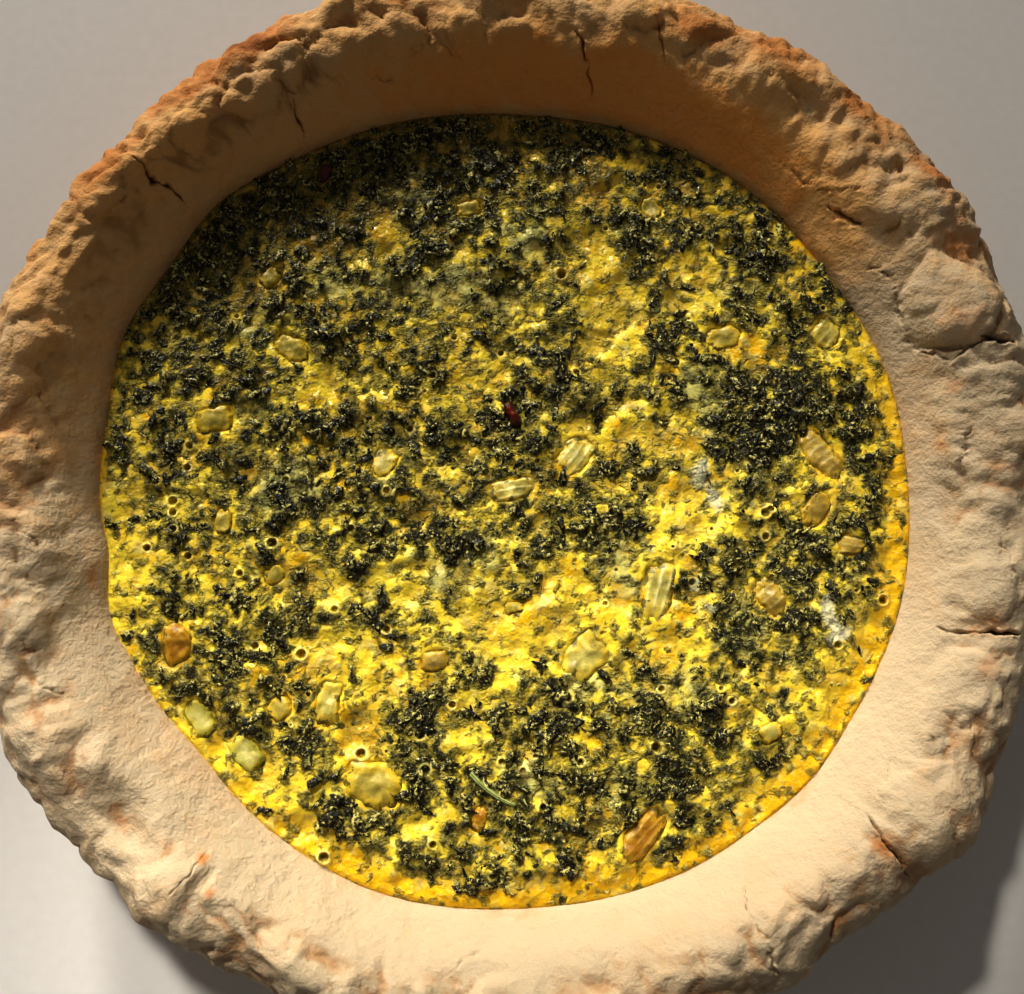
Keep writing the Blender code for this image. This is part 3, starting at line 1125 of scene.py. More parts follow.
# Zones where a grey film lies over sunken leaf
FILM = (
    *patches(6.0, 0.9, (187, 55), (182, 48), (325, 64), (171, 26), (283, 53), (293, 47), (247, 22)),
    *patches(6.5, 0.9, (322, 33), (92, 42), (107, 47), (107, 71), (132, 63), (85, 58), (120, 52)),
    *patches(5.5, 0.8, (62, 68), (26, 50), (358, 58), (276, 69), (289, 75), (310, 64), (150, 70)),
    *patches(5.5, 0.7, (165, 60), (100, 60), (75, 48), (40, 70), (15, 50), (300, 58), (230, 28)),
)

# Deeper ochre, where the egg has baked brown
OCHRE = (
    *patches(5.0, 0.9, (210, 54), (122, 12), (55, 21), (267, 76), (264, 56), (196, 73), (289, 88)),
    *patches(5.5, 0.7, (126, 74), (104, 59), (72, 71), (52, 76), (179, 60), (224, 46), (226, 72)),
    *patches(4.5, 0.8, (230, 82), (1, 72), (10, 43), (327, 86), (209, 88), (356, 78), (345, 85)),
    *patches(9.0, 0.8, (112, 84), (95, 86), (78, 84), (128, 82), (60, 82), (45, 86), (145, 84)),
)

# Whitish set egg
WHITE = rows_of(
    Spot,
    (338.1, 78.7, 1.7, 1, 2.6, 75), (335, 80.5, 1.5, 0.9, 2.4, 120), (333.5, 83.5, 1.6, 1, 2.4, 30),
    (0.9, 44.6, 2.4, 0.9, 1.8, 65), (352.4, 48.2, 2, 0.9, 2, 110), (329, 50, 1.9, 0.9),
    (326, 55.5, 1.8, 0.7), (344.5, 41.1, 3.5, 0.4, 1.6, 20), (180, 74, 1.6, 0.6), (283, 46, 1.6, 0.5),
)

# Popped bubbles that stand out, of about 1 mm, and some larger
BUBBLES = (
    *patches(1.3, 1.0, (185, 77), (197, 56), (222, 62), (351, 60), (341, 90), (255, 69), (252, 62)),
    *patches(1.35, 1.0, (245, 94), (298, 70), (75, 50), (243, 71)),
    *patches(1.0, 1.0, (179, 74), (187, 77), (190, 77), (192, 84), (175, 74), (201, 65), (182, 51)),
    *patches(1.0, 1.0, (189, 28), (215, 69), (219, 50), (195, 75), (200, 38), (233, 45), (155, 25)),
    *patches(1.0, 1.0, (352, 61), (346, 61), (329, 49), (332, 84), (259, 84), (247, 73), (257, 54)),
    *patches(0.95, 1.0, (285, 53), (305, 60), (284, 67), (273, 67), (269, 65), (282, 79), (276, 75)),
    *patches(0.9, 1.0, (268, 89), (314, 72), (111, 35), (93, 29), (56, 29), (127, 29)),
)


@dataclass(frozen=True)
class EggFinish:
    """Moist baked egg, cloudy and frothy where ragged clumps of chopped leaf show through it."""

    lemon: Colour = srgb(252, 223, 72)
    gold: Colour = srgb(250, 200, 32)
    pale: Colour = srgb(252, 240, 150)
    ochre_and_shade: Colour = srgb(200, 144, 42)
    baked_and_shaded: Colour = srgb(128, 96, 34)
    dull: Colour = srgb(206, 172, 64)
    froth: Colour = srgb(250, 238, 156)
    film: Colour = srgb(196, 196, 132)
    olive: Colour = srgb(106, 104, 52)
    pepper: Colour = srgb(44, 42, 22)
    leaf: Colour = srgb(19, 18, 11)
    green: Colour = srgb(82, 80, 40)
    blotch: Colour = srgb(158, 150, 72)
    white: Colour = srgb(236, 232, 192)
    pit: Colour = srgb(84, 70, 20)

    def body(self, graph: Graph, place: Value, soft: Value) -> Value:
        """Colours the egg itself: yellow, browner in browned patches, greyer where it is clear, with painted
        shade near the far left edge, along the rim and in its low parts.

        Args:
            graph: The material's graph.
            place: The piece's own coordinates.
            soft: Soft noise.

        Returns:
            The colour.
        """
        broad = graph.noise(place, 11.0, 3.0)
        fold = graph.noise(graph.warp(place, 5.0, 2.0), 3.4, 2.0, 0.5)
        # Browned patches, with painted shade near the far left edge and along the rim.
        baked_and_shaded = graph.attribute("ochre_and_shade") + (soft - 0.5) * 1.0
        colour = graph.mix(self.lemon, self.gold, graph.grade(broad * 0.6 + soft * 0.4, 0.50, 0.62))
        return graph.coats(
            graph.mix(colour, self.gold, graph.attribute("rich")),
            (self.pale, soft * 0.5 + fold * 0.5, 0.52, 0.64, 0.50),
            (self.dull, fold, 0.44, 0.32, 0.4),
            (self.ochre_and_shade, baked_and_shaded, 0.40, 1.2, 0.70),
            (self.baked_and_shaded, baked_and_shaded, 0.9, 2.0, 0.85),
            (self.film, graph.attribute("film") + (soft - 0.5) * 2.6, 0.20, 0.85, 0.75),
            # Painted shade in the low parts of the top.
            (self.dull, graph.attribute("low") + (soft - 0.5) * 0.8, 0.15, 1.0, 0.6),
        )

    def clumps(self, graph: Graph, colour: Value, ragged: Value, crumb: Value, grain: Value) -> Value:
        """Lays ragged leaf over the egg: olive where it is thin, nearly black where it is thick.

        Args:
            graph: The material's graph.
            colour: The egg's colour.
            ragged: How thick the leaf lies.
            crumb: Noise as coarse as crumbs.
            grain: Noise as fine as grains.

        Returns:
            The colour.
        """
        leafy = graph.grade(ragged, -1.1, -0.3)
        colour = graph.coats(
            graph.mix(colour, self.blotch, leafy * 0.30),
            (self.olive, ragged, -0.65, 0.05, 0.60),
            (self.froth, grain, 0.52, 0.60, leafy * 0.40),
            (self.pepper, grain, 0.43, 0.38, leafy * 0.40),
        )
        tone = graph.mix(self.green, self.leaf, graph.grade(ragged + (grain - 0.5) * 0.8, 0.10, 0.60))
        colour = graph.mix(colour, tone, graph.grade(ragged, 0.0, 0.12) * 0.95)
        patch = graph.noise(graph.warp(graph.place(), 2.0, 0.8), 1.5, 3.0, 0.6)
        colour = graph.mix(colour, self.blotch, graph.grade(patch, 0.56, 0.60) * leafy * 0.70)
        flecks = graph.grade(grain, 0.56, 0.61) * graph.grade(crumb, 0.47, 0.57)
        return graph.mix(colour, self.froth, flecks * 0.45)

    def material(self) -> bpy.types.Material:
        """Builds the egg's material.

        Returns:
            The material.
        """
        graph = Graph("egg")
        place = graph.place()
        soft = graph.noise(place, 4.2, 3.0, 0.55)
        swirled = graph.warp(place, 2.2, 0.9)
        crumb = graph.noise(swirled, 1.9, 4.0, 0.62)
        grain = graph.noise(swirled, 0.85, 3.0, 0.65)
        colour = self.body(graph, place, soft)
        ragged = graph.attribute("clump") + (crumb - 0.5) * 3.4 + (grain - 0.5) * 0.8
        colour = self.clumps(graph, colour, ragged, crumb, grain)
        streak = graph.attribute("white") + (crumb - 0.5) * 0.8
        colour = graph.coats(colour, (self.white, streak, 0.3, 0.8, 0.85))
        colour = graph.mix(colour, self.froth, graph.attribute("ring") * 0.7)
        # Painted shade in the bubbles' pits.
        colour = graph.mix(colour, self.pit, graph.attribute("pit") * 0.8)
        leafy = graph.grade(ragged, -0.8, 0.2)
        fine = crumb * 1.5 + grain * 0.6
        relief = fine * (leafy * 0.85 + 0.10) + soft * 1.4 + graph.grade(ragged, 0.2, 0.5) * 0.5
        return graph.finish(
            Base_Color=colour,
            Roughness=graph.grade(crumb, 0.35, 0.65, 0.16, 0.38),
            IOR=1.4,
            Specular_IOR_Level=0.35,
            Subsurface_Weight=0.10,
            Subsurface_Radius=(1.0, 0.7, 0.15),
            Subsurface_Scale=0.0010,
            Normal=graph.bump(relief, 1.0, 1.0),
        )


@dataclass
class Filling:
    """The baked egg: a disc with a lumpy top, popped bubbles and beds for the onion (millimetres)."""

    grid: int = 276
    radius: float = 94.7
    level: float = 27.0
    dome: float = 0.8
    wave: float = 0.9
    lumps: float = 1.0
    small_lumps: float = 0.85
    leaf_rise: float = 0.42
    brim_drop: float = 0.8
    bed_depth: float = 1.9
    bed_lip: float = 0.12
    seed: int = 3
    strewn: int = 120
    finish: EggFinish = field(default_factory=EggFinish)
    bubbles: list[tuple[float, float, float]] = field(default_factory=list)

    def __post_init__(self) -> None:
        """Strews the bubbles about."""
        dice = np.random.default_rng(self.seed)
        self.bubbles = [(*polar(spot.angle, spot.radius), spot.size) for spot in BUBBLES]
        while len(self.bubbles) < self.strewn:
            spot = polar(dice.uniform(0.0, 360.0), 91.0 * math.sqrt(dice.uniform()))
            size = 0.30 + 0.45 * dice.uniform() ** 1.6
            clear = all(math.dist(spot, other[:2]) > 2.2 * (size + other[2]) for other in self.bubbles)
            inside = any(onion.reach(spot[None, :])[0] < 1.2 for onion in ONIONS)
            if clear and not inside:
                self.bubbles.append((*spot, size))

    def edge(self, plan: Array) -> Array:
        """Gives the outline's radius in the direction of each plan point."""
        angles = np.degrees(np.arctan2(plan[:, 1], plan[:, 0]))
        return self.radius + lobed(EDGE_LOBES, angles)

    def rich(self, plan: Array) -> Array:
        """Gives how much plan points lie in the golden band along the near right edge, 0 to 1."""
        near = smoothstep(-0.1, 0.6, (0.55 * plan[:, 0] - 0.83 * plan[:, 1]) / self.radius)
        return near * smoothstep(8.0, 3.5, self.inset(plan))

    def far(self, plan: Array) -> Array:
        """Gives how much plan points lie near the far left edge, where painted shade darkens the egg, 0 to
        1.
        """
        return smoothstep(0.25, 1.0, (0.90 * plan[:, 1] - 0.43 * plan[:, 0]) / self.radius)

    def leafiness(self, plan: Array) -> Array:
        """Gives how thickly leaf lies at plan points, 0 to 1, and more on the tallest heap.

        Args:
            plan: Plan points in millimetres, two to a row.

        Returns:
            One amount for each point.
        """
        points = raised(plan)
        amount = 0.48 + 0.42 * Field.smooth(points, 12.0, 71) + 0.34 * Field.smooth(points, 4.4, 73)
        amount += 0.62 * spotted(LEAF_HEAPS, plan) - 1.0 * spotted(CLEAR_EGG, plan)
        inset = self.inset(plan)
        amount -= 0.35 * np.exp(-((inset / 2.5) ** 2)) + 0.5 * self.rich(plan)
        # More leaf near the far left edge, partly as leaf lies there and partly to darken it as painted
        # shade.
        amount += 0.04 + 0.20 * self.far(plan)
        for onion in (*ONIONS, *SHREDS):
            amount -= 0.9 * smoothstep(1.15, 0.9, onion.reach(plan))
        return np.clip(amount, 0.0, 1.4)

    def clumps(self, plan: Array, leaf: Array) -> Array:
        """Gives how thick the clumps of leaf are, about -1 in clear egg to 1 inside a clump.

        Args:
            plan: Plan points in millimetres, two to a row.
            leaf: How thickly leaf lies at each.

        Returns:
            One thickness for each point.
        """
        points = raised(plan)
        warp = np.stack([Field.smooth(points, 4.0, seed) for seed in (81, 82, 83)], axis=1) * 1.2
        pattern = 0.55 * Field.smooth(points + warp, 4.6, 75) + 1.05 * Field.smooth(points + warp, 2.4, 77)
        return pattern + 1.40 * leaf - 0.96

    def inset(self, plan: Array) -> Array:
        """Gives how far inside the outline plan points lie."""
        return self.edge(plan) - np.hypot(plan[:, 0], plan[:, 1])

    def ground(self, plan: Array, leaf: Array) -> Array:
        """Gives the height of the egg's top before beds and bubbles are put in it.

        Args:
            plan: Plan points in millimetres.
            leaf: How thickly leaf lies at each.

        Returns:
            The heights in millimetres.
        """
        points = raised(plan)
        inset = self.inset(plan)
        fade, bumps = smoothstep(0.0, 14.0, inset), smoothstep(0.0, 3.0, inset)
        warp = np.stack([Field.smooth(points, 6.0, seed) for seed in (81, 82, 83)], axis=1) * 1.6
        height = self.level + fade * (self.dome + self.wave * Field.smooth(points, 17.0, 5))
        height += bumps * self.lumps * Field.smooth(points + warp, 8.5, 85)
        height += bumps * self.small_lumps * Field.smooth(points + warp, 4.4, 89)
        height += bumps * self.leaf_rise * np.clip(self.clumps(plan, leaf) + 0.1, 0.0, 1.0)
        height += bumps * np.clip(leaf, 0.2, 1.0) * self.leaf_rise * Field.smooth(points + warp, 2.1, 87)
        height += bumps * np.clip(leaf, 0.1, 1.0) * 0.14 * Field.smooth(points, 1.1, 91)
        return height + bumps * (0.5 * np.minimum(leaf, 1.0) - 0.2 + 1.6 * np.maximum(leaf - 1.0, 0.0))

    def surface(self, plan: Array) -> dict[str, Array]:
        """Works out the top's height and the numbers that colour it.

        Args:
            plan: Plan points in millimetres, two to a row.

        Returns:
            The height in millimetres, and the colouring numbers.
        """
        points = raised(plan)
        leaf = self.leafiness(plan)
        height = self.ground(plan, leaf)
        low = height - self.level - self.dome
        inset = self.inset(plan)
        height -= self.brim_drop * smoothstep(1.2, 0.0, inset)
        for onion in (*ONIONS, *SHREDS):
            off = onion.reach(plan)
            ragged = off + 0.16 * Field.layered(points, 2.6, 95, 2) * (off < 1.8)
            height -= self.bed_depth * smoothstep(0.88, 0.72, ragged)
            height += self.bed_lip * np.exp(-(((ragged - 1.02) / 0.14) ** 2))
        # How strongly the rim is painted as shade, more on the far side.
        brim = 0.7 + 0.5 * plan[:, 1] / self.radius
        ring, pit = np.zeros(len(plan)), np.zeros(len(plan))
        for number, (x, y, size) in enumerate(self.bubbles):
            away = np.hypot(plan[:, 0] - x, plan[:, 1] - y) / size
            near = away < 3.0
            off = away[near]
            dark, pale = 0.45 + 0.55 * (number * 0.618 % 1.0), 0.5 + 0.5 * (number * 0.382 % 1.0)
            height[near] += 0.26 * size * np.exp(-(((off - 1.0) / 0.24) ** 2)) + 0.12 * size * (off < 1.5)
            height[near] -= 1.0 * size * smoothstep(0.88, 0.35, off)
            ring[near] = np.maximum(ring[near], pale * np.exp(-(((off - 1.03) / 0.22) ** 2)))
            # Painted shade in the bubbles' pits.
            pit[near] = np.maximum(pit[near], dark * smoothstep(0.82, 0.58, off))
        return {
            "height": height,
            "clump": self.clumps(plan, leaf) - 1.2 * np.maximum(ring, pit),
            # Painted shade in the low parts of the top.
            "low": smoothstep(0.25, -0.9, low) * smoothstep(3.0, 9.0, inset),
            "film": spotted(FILM, plan),
            "rich": self.rich(plan),
            # Browned patches, with painted shade near the far left edge and along the rim.
            "ochre_and_shade": spotted(OCHRE, plan) + 1.2 * self.far(plan) + brim * smoothstep(2.2, 0.4, inset),
            "white": spotted(WHITE, plan),
            "ring": ring,
            "pit": pit,
        }

    def outline(self, plan: Array) -> Array:
        """Maps a square of side 2 onto the filling's outline.

        Args:
            plan: Points of the square, two to a row.

        Returns:
            Plan points in millimetres.
        """
        x = plan[:, 0] * np.sqrt(1.0 - plan[:, 1] ** 2 / 2.0)
        y = plan[:, 1] * np.sqrt(1.0 - plan[:, 0] ** 2 / 2.0)
        round_plan = np.column_stack([x, y])
        reach = np.hypot(x, y)[:, None]
        spread = 1.0 + (self.edge(round_plan)[:, None] / self.radius - 1.0) * reach**4
        return round_plan * self.radius * spread

    def build(self) -> bpy.types.Object:
        """Makes the filling piece, which stands for the CAD filling.

        Returns:
            The piece.
        """
        shape = bmesh.new()
        bmesh.ops.create_grid(shape, x_segments=self.grid, y_segments=self.grid, size=1.0)
        plan = self.outline(np.array([vert.co[:2] for vert in shape.verts]))
        for vert, spot in zip(shape.verts, plan):
            vert.co = (*spot, 0.0)
        near = np.zeros(len(plan), bool)
        for x, y, size in self.bubbles:
            near |= np.hypot(plan[:, 0] - x, plan[:, 1] - y) < 1.3 * size + 0.4
        shape.verts.index_update()
        fine = [edge for edge in shape.edges if near[edge.verts[0].index] and near[edge.verts[1].index]]
        bmesh.ops.subdivide_edges(shape, edges=fine, cuts=2, use_grid_fill=True)
        made = self.surface(np.array([vert.co[:2] for vert in shape.verts]))
        for vert, height in zip(shape.verts, made.pop("height")):
            vert.co.z = height
        for drop, share in ((4.0, 0.975), (16.0, 0.915)):
            rim = [edge for edge in shape.edges if edge.is_boundary]
            grown = bmesh.ops.extrude_edge_only(shape, edges=rim)["geom"]
            for vert in (item for item in grown if isinstance(item, bmesh.types.BMVert)):
                vert.co = Vector((vert.co.x * share, vert.co.y * share, vert.co.z - drop))
        bmesh.ops.holes_fill(shape, edges=[e for e in shape.edges if e.is_boundary], sides=0)
        bmesh.ops.recalc_face_normals(shape, faces=shape.faces)
        mesh = meshed("filling_egg", shape)
        piece = show(mesh, self.finish.material(), "egg", read_points(mesh), **made)
        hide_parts("filling")
        return piece


# ---- Onion ----


@dataclass(frozen=True)
class OnionFinish:
    """Cooked onion: glossy, half clear, with fine pale lines and browner edges."""

    cooked: Cooked
    speck: Colour = srgb(84, 78, 36)

    def colours(self) -> tuple[Colour, Colour, Colour, Colour]:
        """Gives the flesh, line, edge and shaded colours of this way of cooking.

        Returns:
            The four colours.
        """
        rows = {
            Cooked.CLEAR: ((188, 170, 80), (212, 200, 122), (222, 190, 54), (130, 116, 52)),
            Cooked.PALE: ((196, 182, 96), (230, 220, 156), (232, 200, 62), (140, 130, 66)),
            Cooked.GREEN: ((208, 198, 120), (220, 212, 146), (204, 190, 60), (178, 172, 92)),
            Cooked.TAWNY: ((176, 150, 72), (212, 194, 126), (210, 174, 50), (120, 98, 46)),
            Cooked.BROWNED: ((172, 122, 30), (210, 172, 76), (208, 164, 40), (106, 58, 12)),
            Cooked.BURNT: ((104, 30, 8), (160, 74, 22), (52, 14, 4), (40, 12, 4)),
        }
        return tuple(srgb(*colour) for colour in rows[self.cooked])

    def material(self) -> bpy.types.Material:
        """Builds the onion's material.

        Returns:
            The material.
        """
        flesh, line, edge, dim = self.colours()
        graph = Graph(f"onion_{self.cooked.value}")
        place = graph.place()
        ribs = graph.attribute("rib")
        rim = graph.attribute("rim")
        broad = graph.noise(place, 5.0, 3.0)
        mottle = graph.noise(place, 2.6, 4.0, 0.6)
        fine = graph.noise(place, 0.45, 3.0, 0.6)
        colour = graph.coats(
            flesh,
            (edge, rim + (mottle - 0.5) * 1.6, 0.30, 0.80, 0.92),
            (line, mottle, 0.5, 0.7, 0.30),
            (dim, broad, 0.52, 0.70, 0.6),
        )
        colour = graph.mix(colour, line, ribs * graph.grade(mottle, 0.3, 0.55) * 0.8)
        speckled = rim + (mottle - 0.5) * 3.0 + (fine - 0.5) * 1.0
        colour = graph.coats(colour, (line, fine, 0.6, 0.72, 0.3), (self.speck, speckled, 0.90, 1.06, 0.8))
        return graph.finish(
            Base_Color=colour,
            Roughness=graph.grade(mottle, 0.3, 0.7, 0.22, 0.42),
            IOR=1.42,
            Subsurface_Weight=0.3,
            Subsurface_Radius=(1.0, 0.85, 0.35),
            Subsurface_Scale=0.0015,
            Normal=graph.bump(fine * 0.4 + mottle * 0.7 + ribs * 0.15, 0.3, 0.8),
        )


@dataclass
class OnionPieces:
    """Slips of onion lying half sunk in the egg; each larger slip hides its CAD node (millimetres)."""

    filling: Filling
    along: int = 36
    across: int = 28
    spacing: float = 1.9
    thickness: float = 1.0
    proud: float = 0.20
    edge_drop: float = 0.75
    fray_drop: float = 1.2
    line_height: float = 0.07

    def slip(self, onion: Onion, name: str, material: bpy.types.Material) -> bpy.types.Object:
        """Makes one slip.

        Args:
            onion: Its place and size.
            name: Its name.
            material: Its finish.

        Returns:
            The piece.
        """
        shape = bmesh.new()
        bmesh.ops.create_grid(shape, x_segments=self.along, y_segments=self.across, size=1.0)
        flat = np.array([vert.co[:2] for vert in shape.verts])
        reach = np.maximum(np.abs(flat[:, 0]), np.abs(flat[:, 1]))
        ring = flat / np.maximum(np.hypot(flat[:, 0], flat[:, 1]), 1e-6)[:, None]
        own = ring * (reach * onion.rim(flat))[:, None]
        plan = own * np.array([onion.length, onion.width]) * 0.5
        rib = self.lines(onion, plan)
        plan = np.column_stack(turned(plan, -onion.heading)) + polar(onion.angle, onion.radius)
        middle = self.filling.ground(plan, np.zeros(len(plan)))
        points = raised(plan)
        height = 0.6 * middle + 0.4 * middle.mean() + self.proud + 0.6 * onion.lift
        frayed = reach + 0.13 * Field.layered(points, 3.6, 307, 2)
        height += 0.7 * onion.arch * (1.0 - reach**2) - self.edge_drop * smoothstep(0.70, 1.0, frayed)
        height -= self.fray_drop * smoothstep(0.97, 1.10, frayed)
        height += 0.30 * Field.smooth(points, 2.6, 303) + 0.14 * Field.smooth(points, 1.2, 309)
        height += self.line_height * rib
        for vert, spot, level in zip(shape.verts, plan, height):
            vert.co = (*spot, level)
        bmesh.ops.recalc_face_normals(shape, faces=shape.faces)
        if sum(face.normal.z for face in shape.faces) < 0.0:
            bmesh.ops.reverse_faces(shape, faces=shape.faces)
        bmesh.ops.solidify(shape, geom=shape.faces[:], thickness=self.thickness)
        rim = np.append(reach, np.ones(len(shape.verts) - len(reach)))
        mesh = meshed(name, shape)
        return show(mesh, material, "cooked_onion", read_points(mesh), rib=rib, rim=rim)

    def lines(self, onion: Onion, plan: Array) -> Array:
        """Gives the fine raised lines of a slip, 0 to 1, at its own plan points.

        Args:
            onion: The piece.
            plan: Points along its length and width, in millimetres.

        Returns:
            One value for each point.
        """
        if onion.lines is Lines.NONE:
            return np.zeros(len(plan))
        run = plan[:, 1] if onion.lines is Lines.ALONG else plan[:, 0]
        cross = plan[:, 0] if onion.lines is Lines.ALONG else plan[:, 1]
        points = raised(plan, onion.angle)
        phase = run / self.spacing + 0.05 * cross + 0.30 * Field.smooth(points, 4.0, 305)
        return np.exp(-(((phase - np.round(phase)) / 0.17) ** 2))

    def build(self) -> None:
        """Makes every slip and shred."""
        finishes = {cooked: OnionFinish(cooked).material() for cooked in Cooked}
        for number, onion in enumerate(ONIONS, start=1):
            piece = self.slip(onion, f"onion_slip_{number:02d}", finishes[onion.cooked])
            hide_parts(f"onion_{number:02d}")
        for number, onion in enumerate(SHREDS, start=1):
            self.slip(onion, f"onion_shred_{number:02d}", finishes[onion.cooked])


# ---- Stalk ----


@dataclass(frozen=True)
class StalkFinish:
    """Cooked green stalk with paler lines along it."""

    green: Colour = srgb(128, 138, 66)
    pale: Colour = srgb(196, 198, 136)

    def material(self) -> bpy.types.Material:
        """Builds the stalk's material.

        Returns:
            The material.
        """
        graph = Graph("stalk")
        mottle = graph.noise(graph.place(), 1.2, 3.0)
        ridged = graph.attribute("ridge") + (mottle - 0.5) * 1.2
        colour = graph.mix(self.green, self.pale, graph.grade(ridged, 0.4, 0.9))
        return graph.finish(Base_Color=colour, Roughness=0.4, IOR=1.4, Specular_IOR_Level=0.4)


@dataclass
class Stalk:
    """A short bent length of herb stalk lying on the egg (degrees and millimetres)."""

    filling: Filling
    angle: float = 267.2
    radius: float = 71.5
    heading: float = -35.0
    length: float = 12.0
    thickness: float = 1.3
    bend: float = 0.8
    ridges: int = 6
    finish: StalkFinish = field(default_factory=StalkFinish)

    def build(self) -> bpy.types.Object:
        """Makes the stalk.

        Returns:
            The piece.
        """
        shape = bmesh.new()
        bmesh.ops.create_cone(
            shape,
            cap_ends=True,
            segments=4 * self.ridges,
            radius1=0.5 * self.thickness,
            radius2=0.38 * self.thickness,
            depth=self.length,
        )
        sides = [edge for edge in shape.edges if abs(edge.verts[0].co.z - edge.verts[1].co.z) > 1.0]
        bmesh.ops.subdivide_edges(shape, edges=sides, cuts=16)
        points = np.array([vert.co[:] for vert in shape.verts])
        ridge = 0.5 + 0.5 * np.cos(self.ridges * np.arctan2(points[:, 1], points[:, 0]))
        wide = (0.85 + 0.15 * ridge + 0.10 * Field.smooth(points, 2.4, 501))[:, None] * points[:, :2]
        share = 2.0 * points[:, 2] / self.length
        lying = np.column_stack([points[:, 2], wide[:, 0] + self.bend * share**2])
        plan = np.column_stack(turned(lying, -self.heading)) + polar(self.angle, self.radius)
        level = self.filling.surface(plan)["height"].mean()
        finished = np.column_stack([plan, level + 0.30 + 0.9 * wide[:, 1] - 0.25 * share**2])
        bmesh.ops.recalc_face_normals(shape, faces=shape.faces)
        return show(meshed("herb_stalk", shape), self.finish.material(), "egg", finished, ridge=ridge)


# ---- Leaf ----


@dataclass(frozen=True)
class LeafFinish:
    """Wet cooked leaf, nearly black, with flecks of egg on it."""

    dark: Colour = srgb(20, 19, 12)
    green: Colour = srgb(72, 70, 34)
    egg: Colour = srgb(226, 212, 120)

    def material(self) -> bpy.types.Material:
        """Builds the leaf's material.

        Returns:
            The material.
        """
        graph = Graph("leaf")
        place = graph.place()
        tone = graph.attribute("tone")
        mottle = graph.noise(place, 1.4, 4.0, 0.6)
        fleck = graph.noise(place, 0.75, 4.0, 0.65)
        colour = graph.mix(self.dark, self.green, graph.grade(mottle + tone * 0.5, 0.5, 1.1))
        colour = graph.mix(colour, self.egg, graph.grade(fleck + tone * 0.10, 0.57, 0.63) * 0.85)
        return graph.finish(
            Base_Color=colour,
            Roughness=graph.grade(mottle, 0.3, 0.7, 0.12, 0.38),
            IOR=1.4,
            Specular_IOR_Level=0.6,
            Normal=graph.bump(fleck * 0.9 + mottle * 0.8, 0.5, 1.0),
        )


@dataclass(frozen=True)
class Chop:
    """One kind of chopped leaf: its tufts, the bits in each, their sizes (millimetres) and their sides."""

    name: str
    tufts: int
    bits: tuple[int, int]
    spread: float
    low: float
    high: float
    slim: float
    sides: int
    seed: int


CHOPS = (
    Chop("leaf_tufts", 300, (3, 8), 1.25, 0.32, 0.95, 0.5, 8, 11),
    Chop("leaf_flakes", 1800, (1, 1), 0.0, 0.55, 2.10, 0.44, 8, 12),
    Chop("leaf_specks", 1500, (1, 1), 0.0, 0.14, 0.36, 0.7, 4, 13),
    Chop("leaf_strands", 700, (1, 1), 0.0, 0.9, 2.4, 0.16, 6, 14),
)


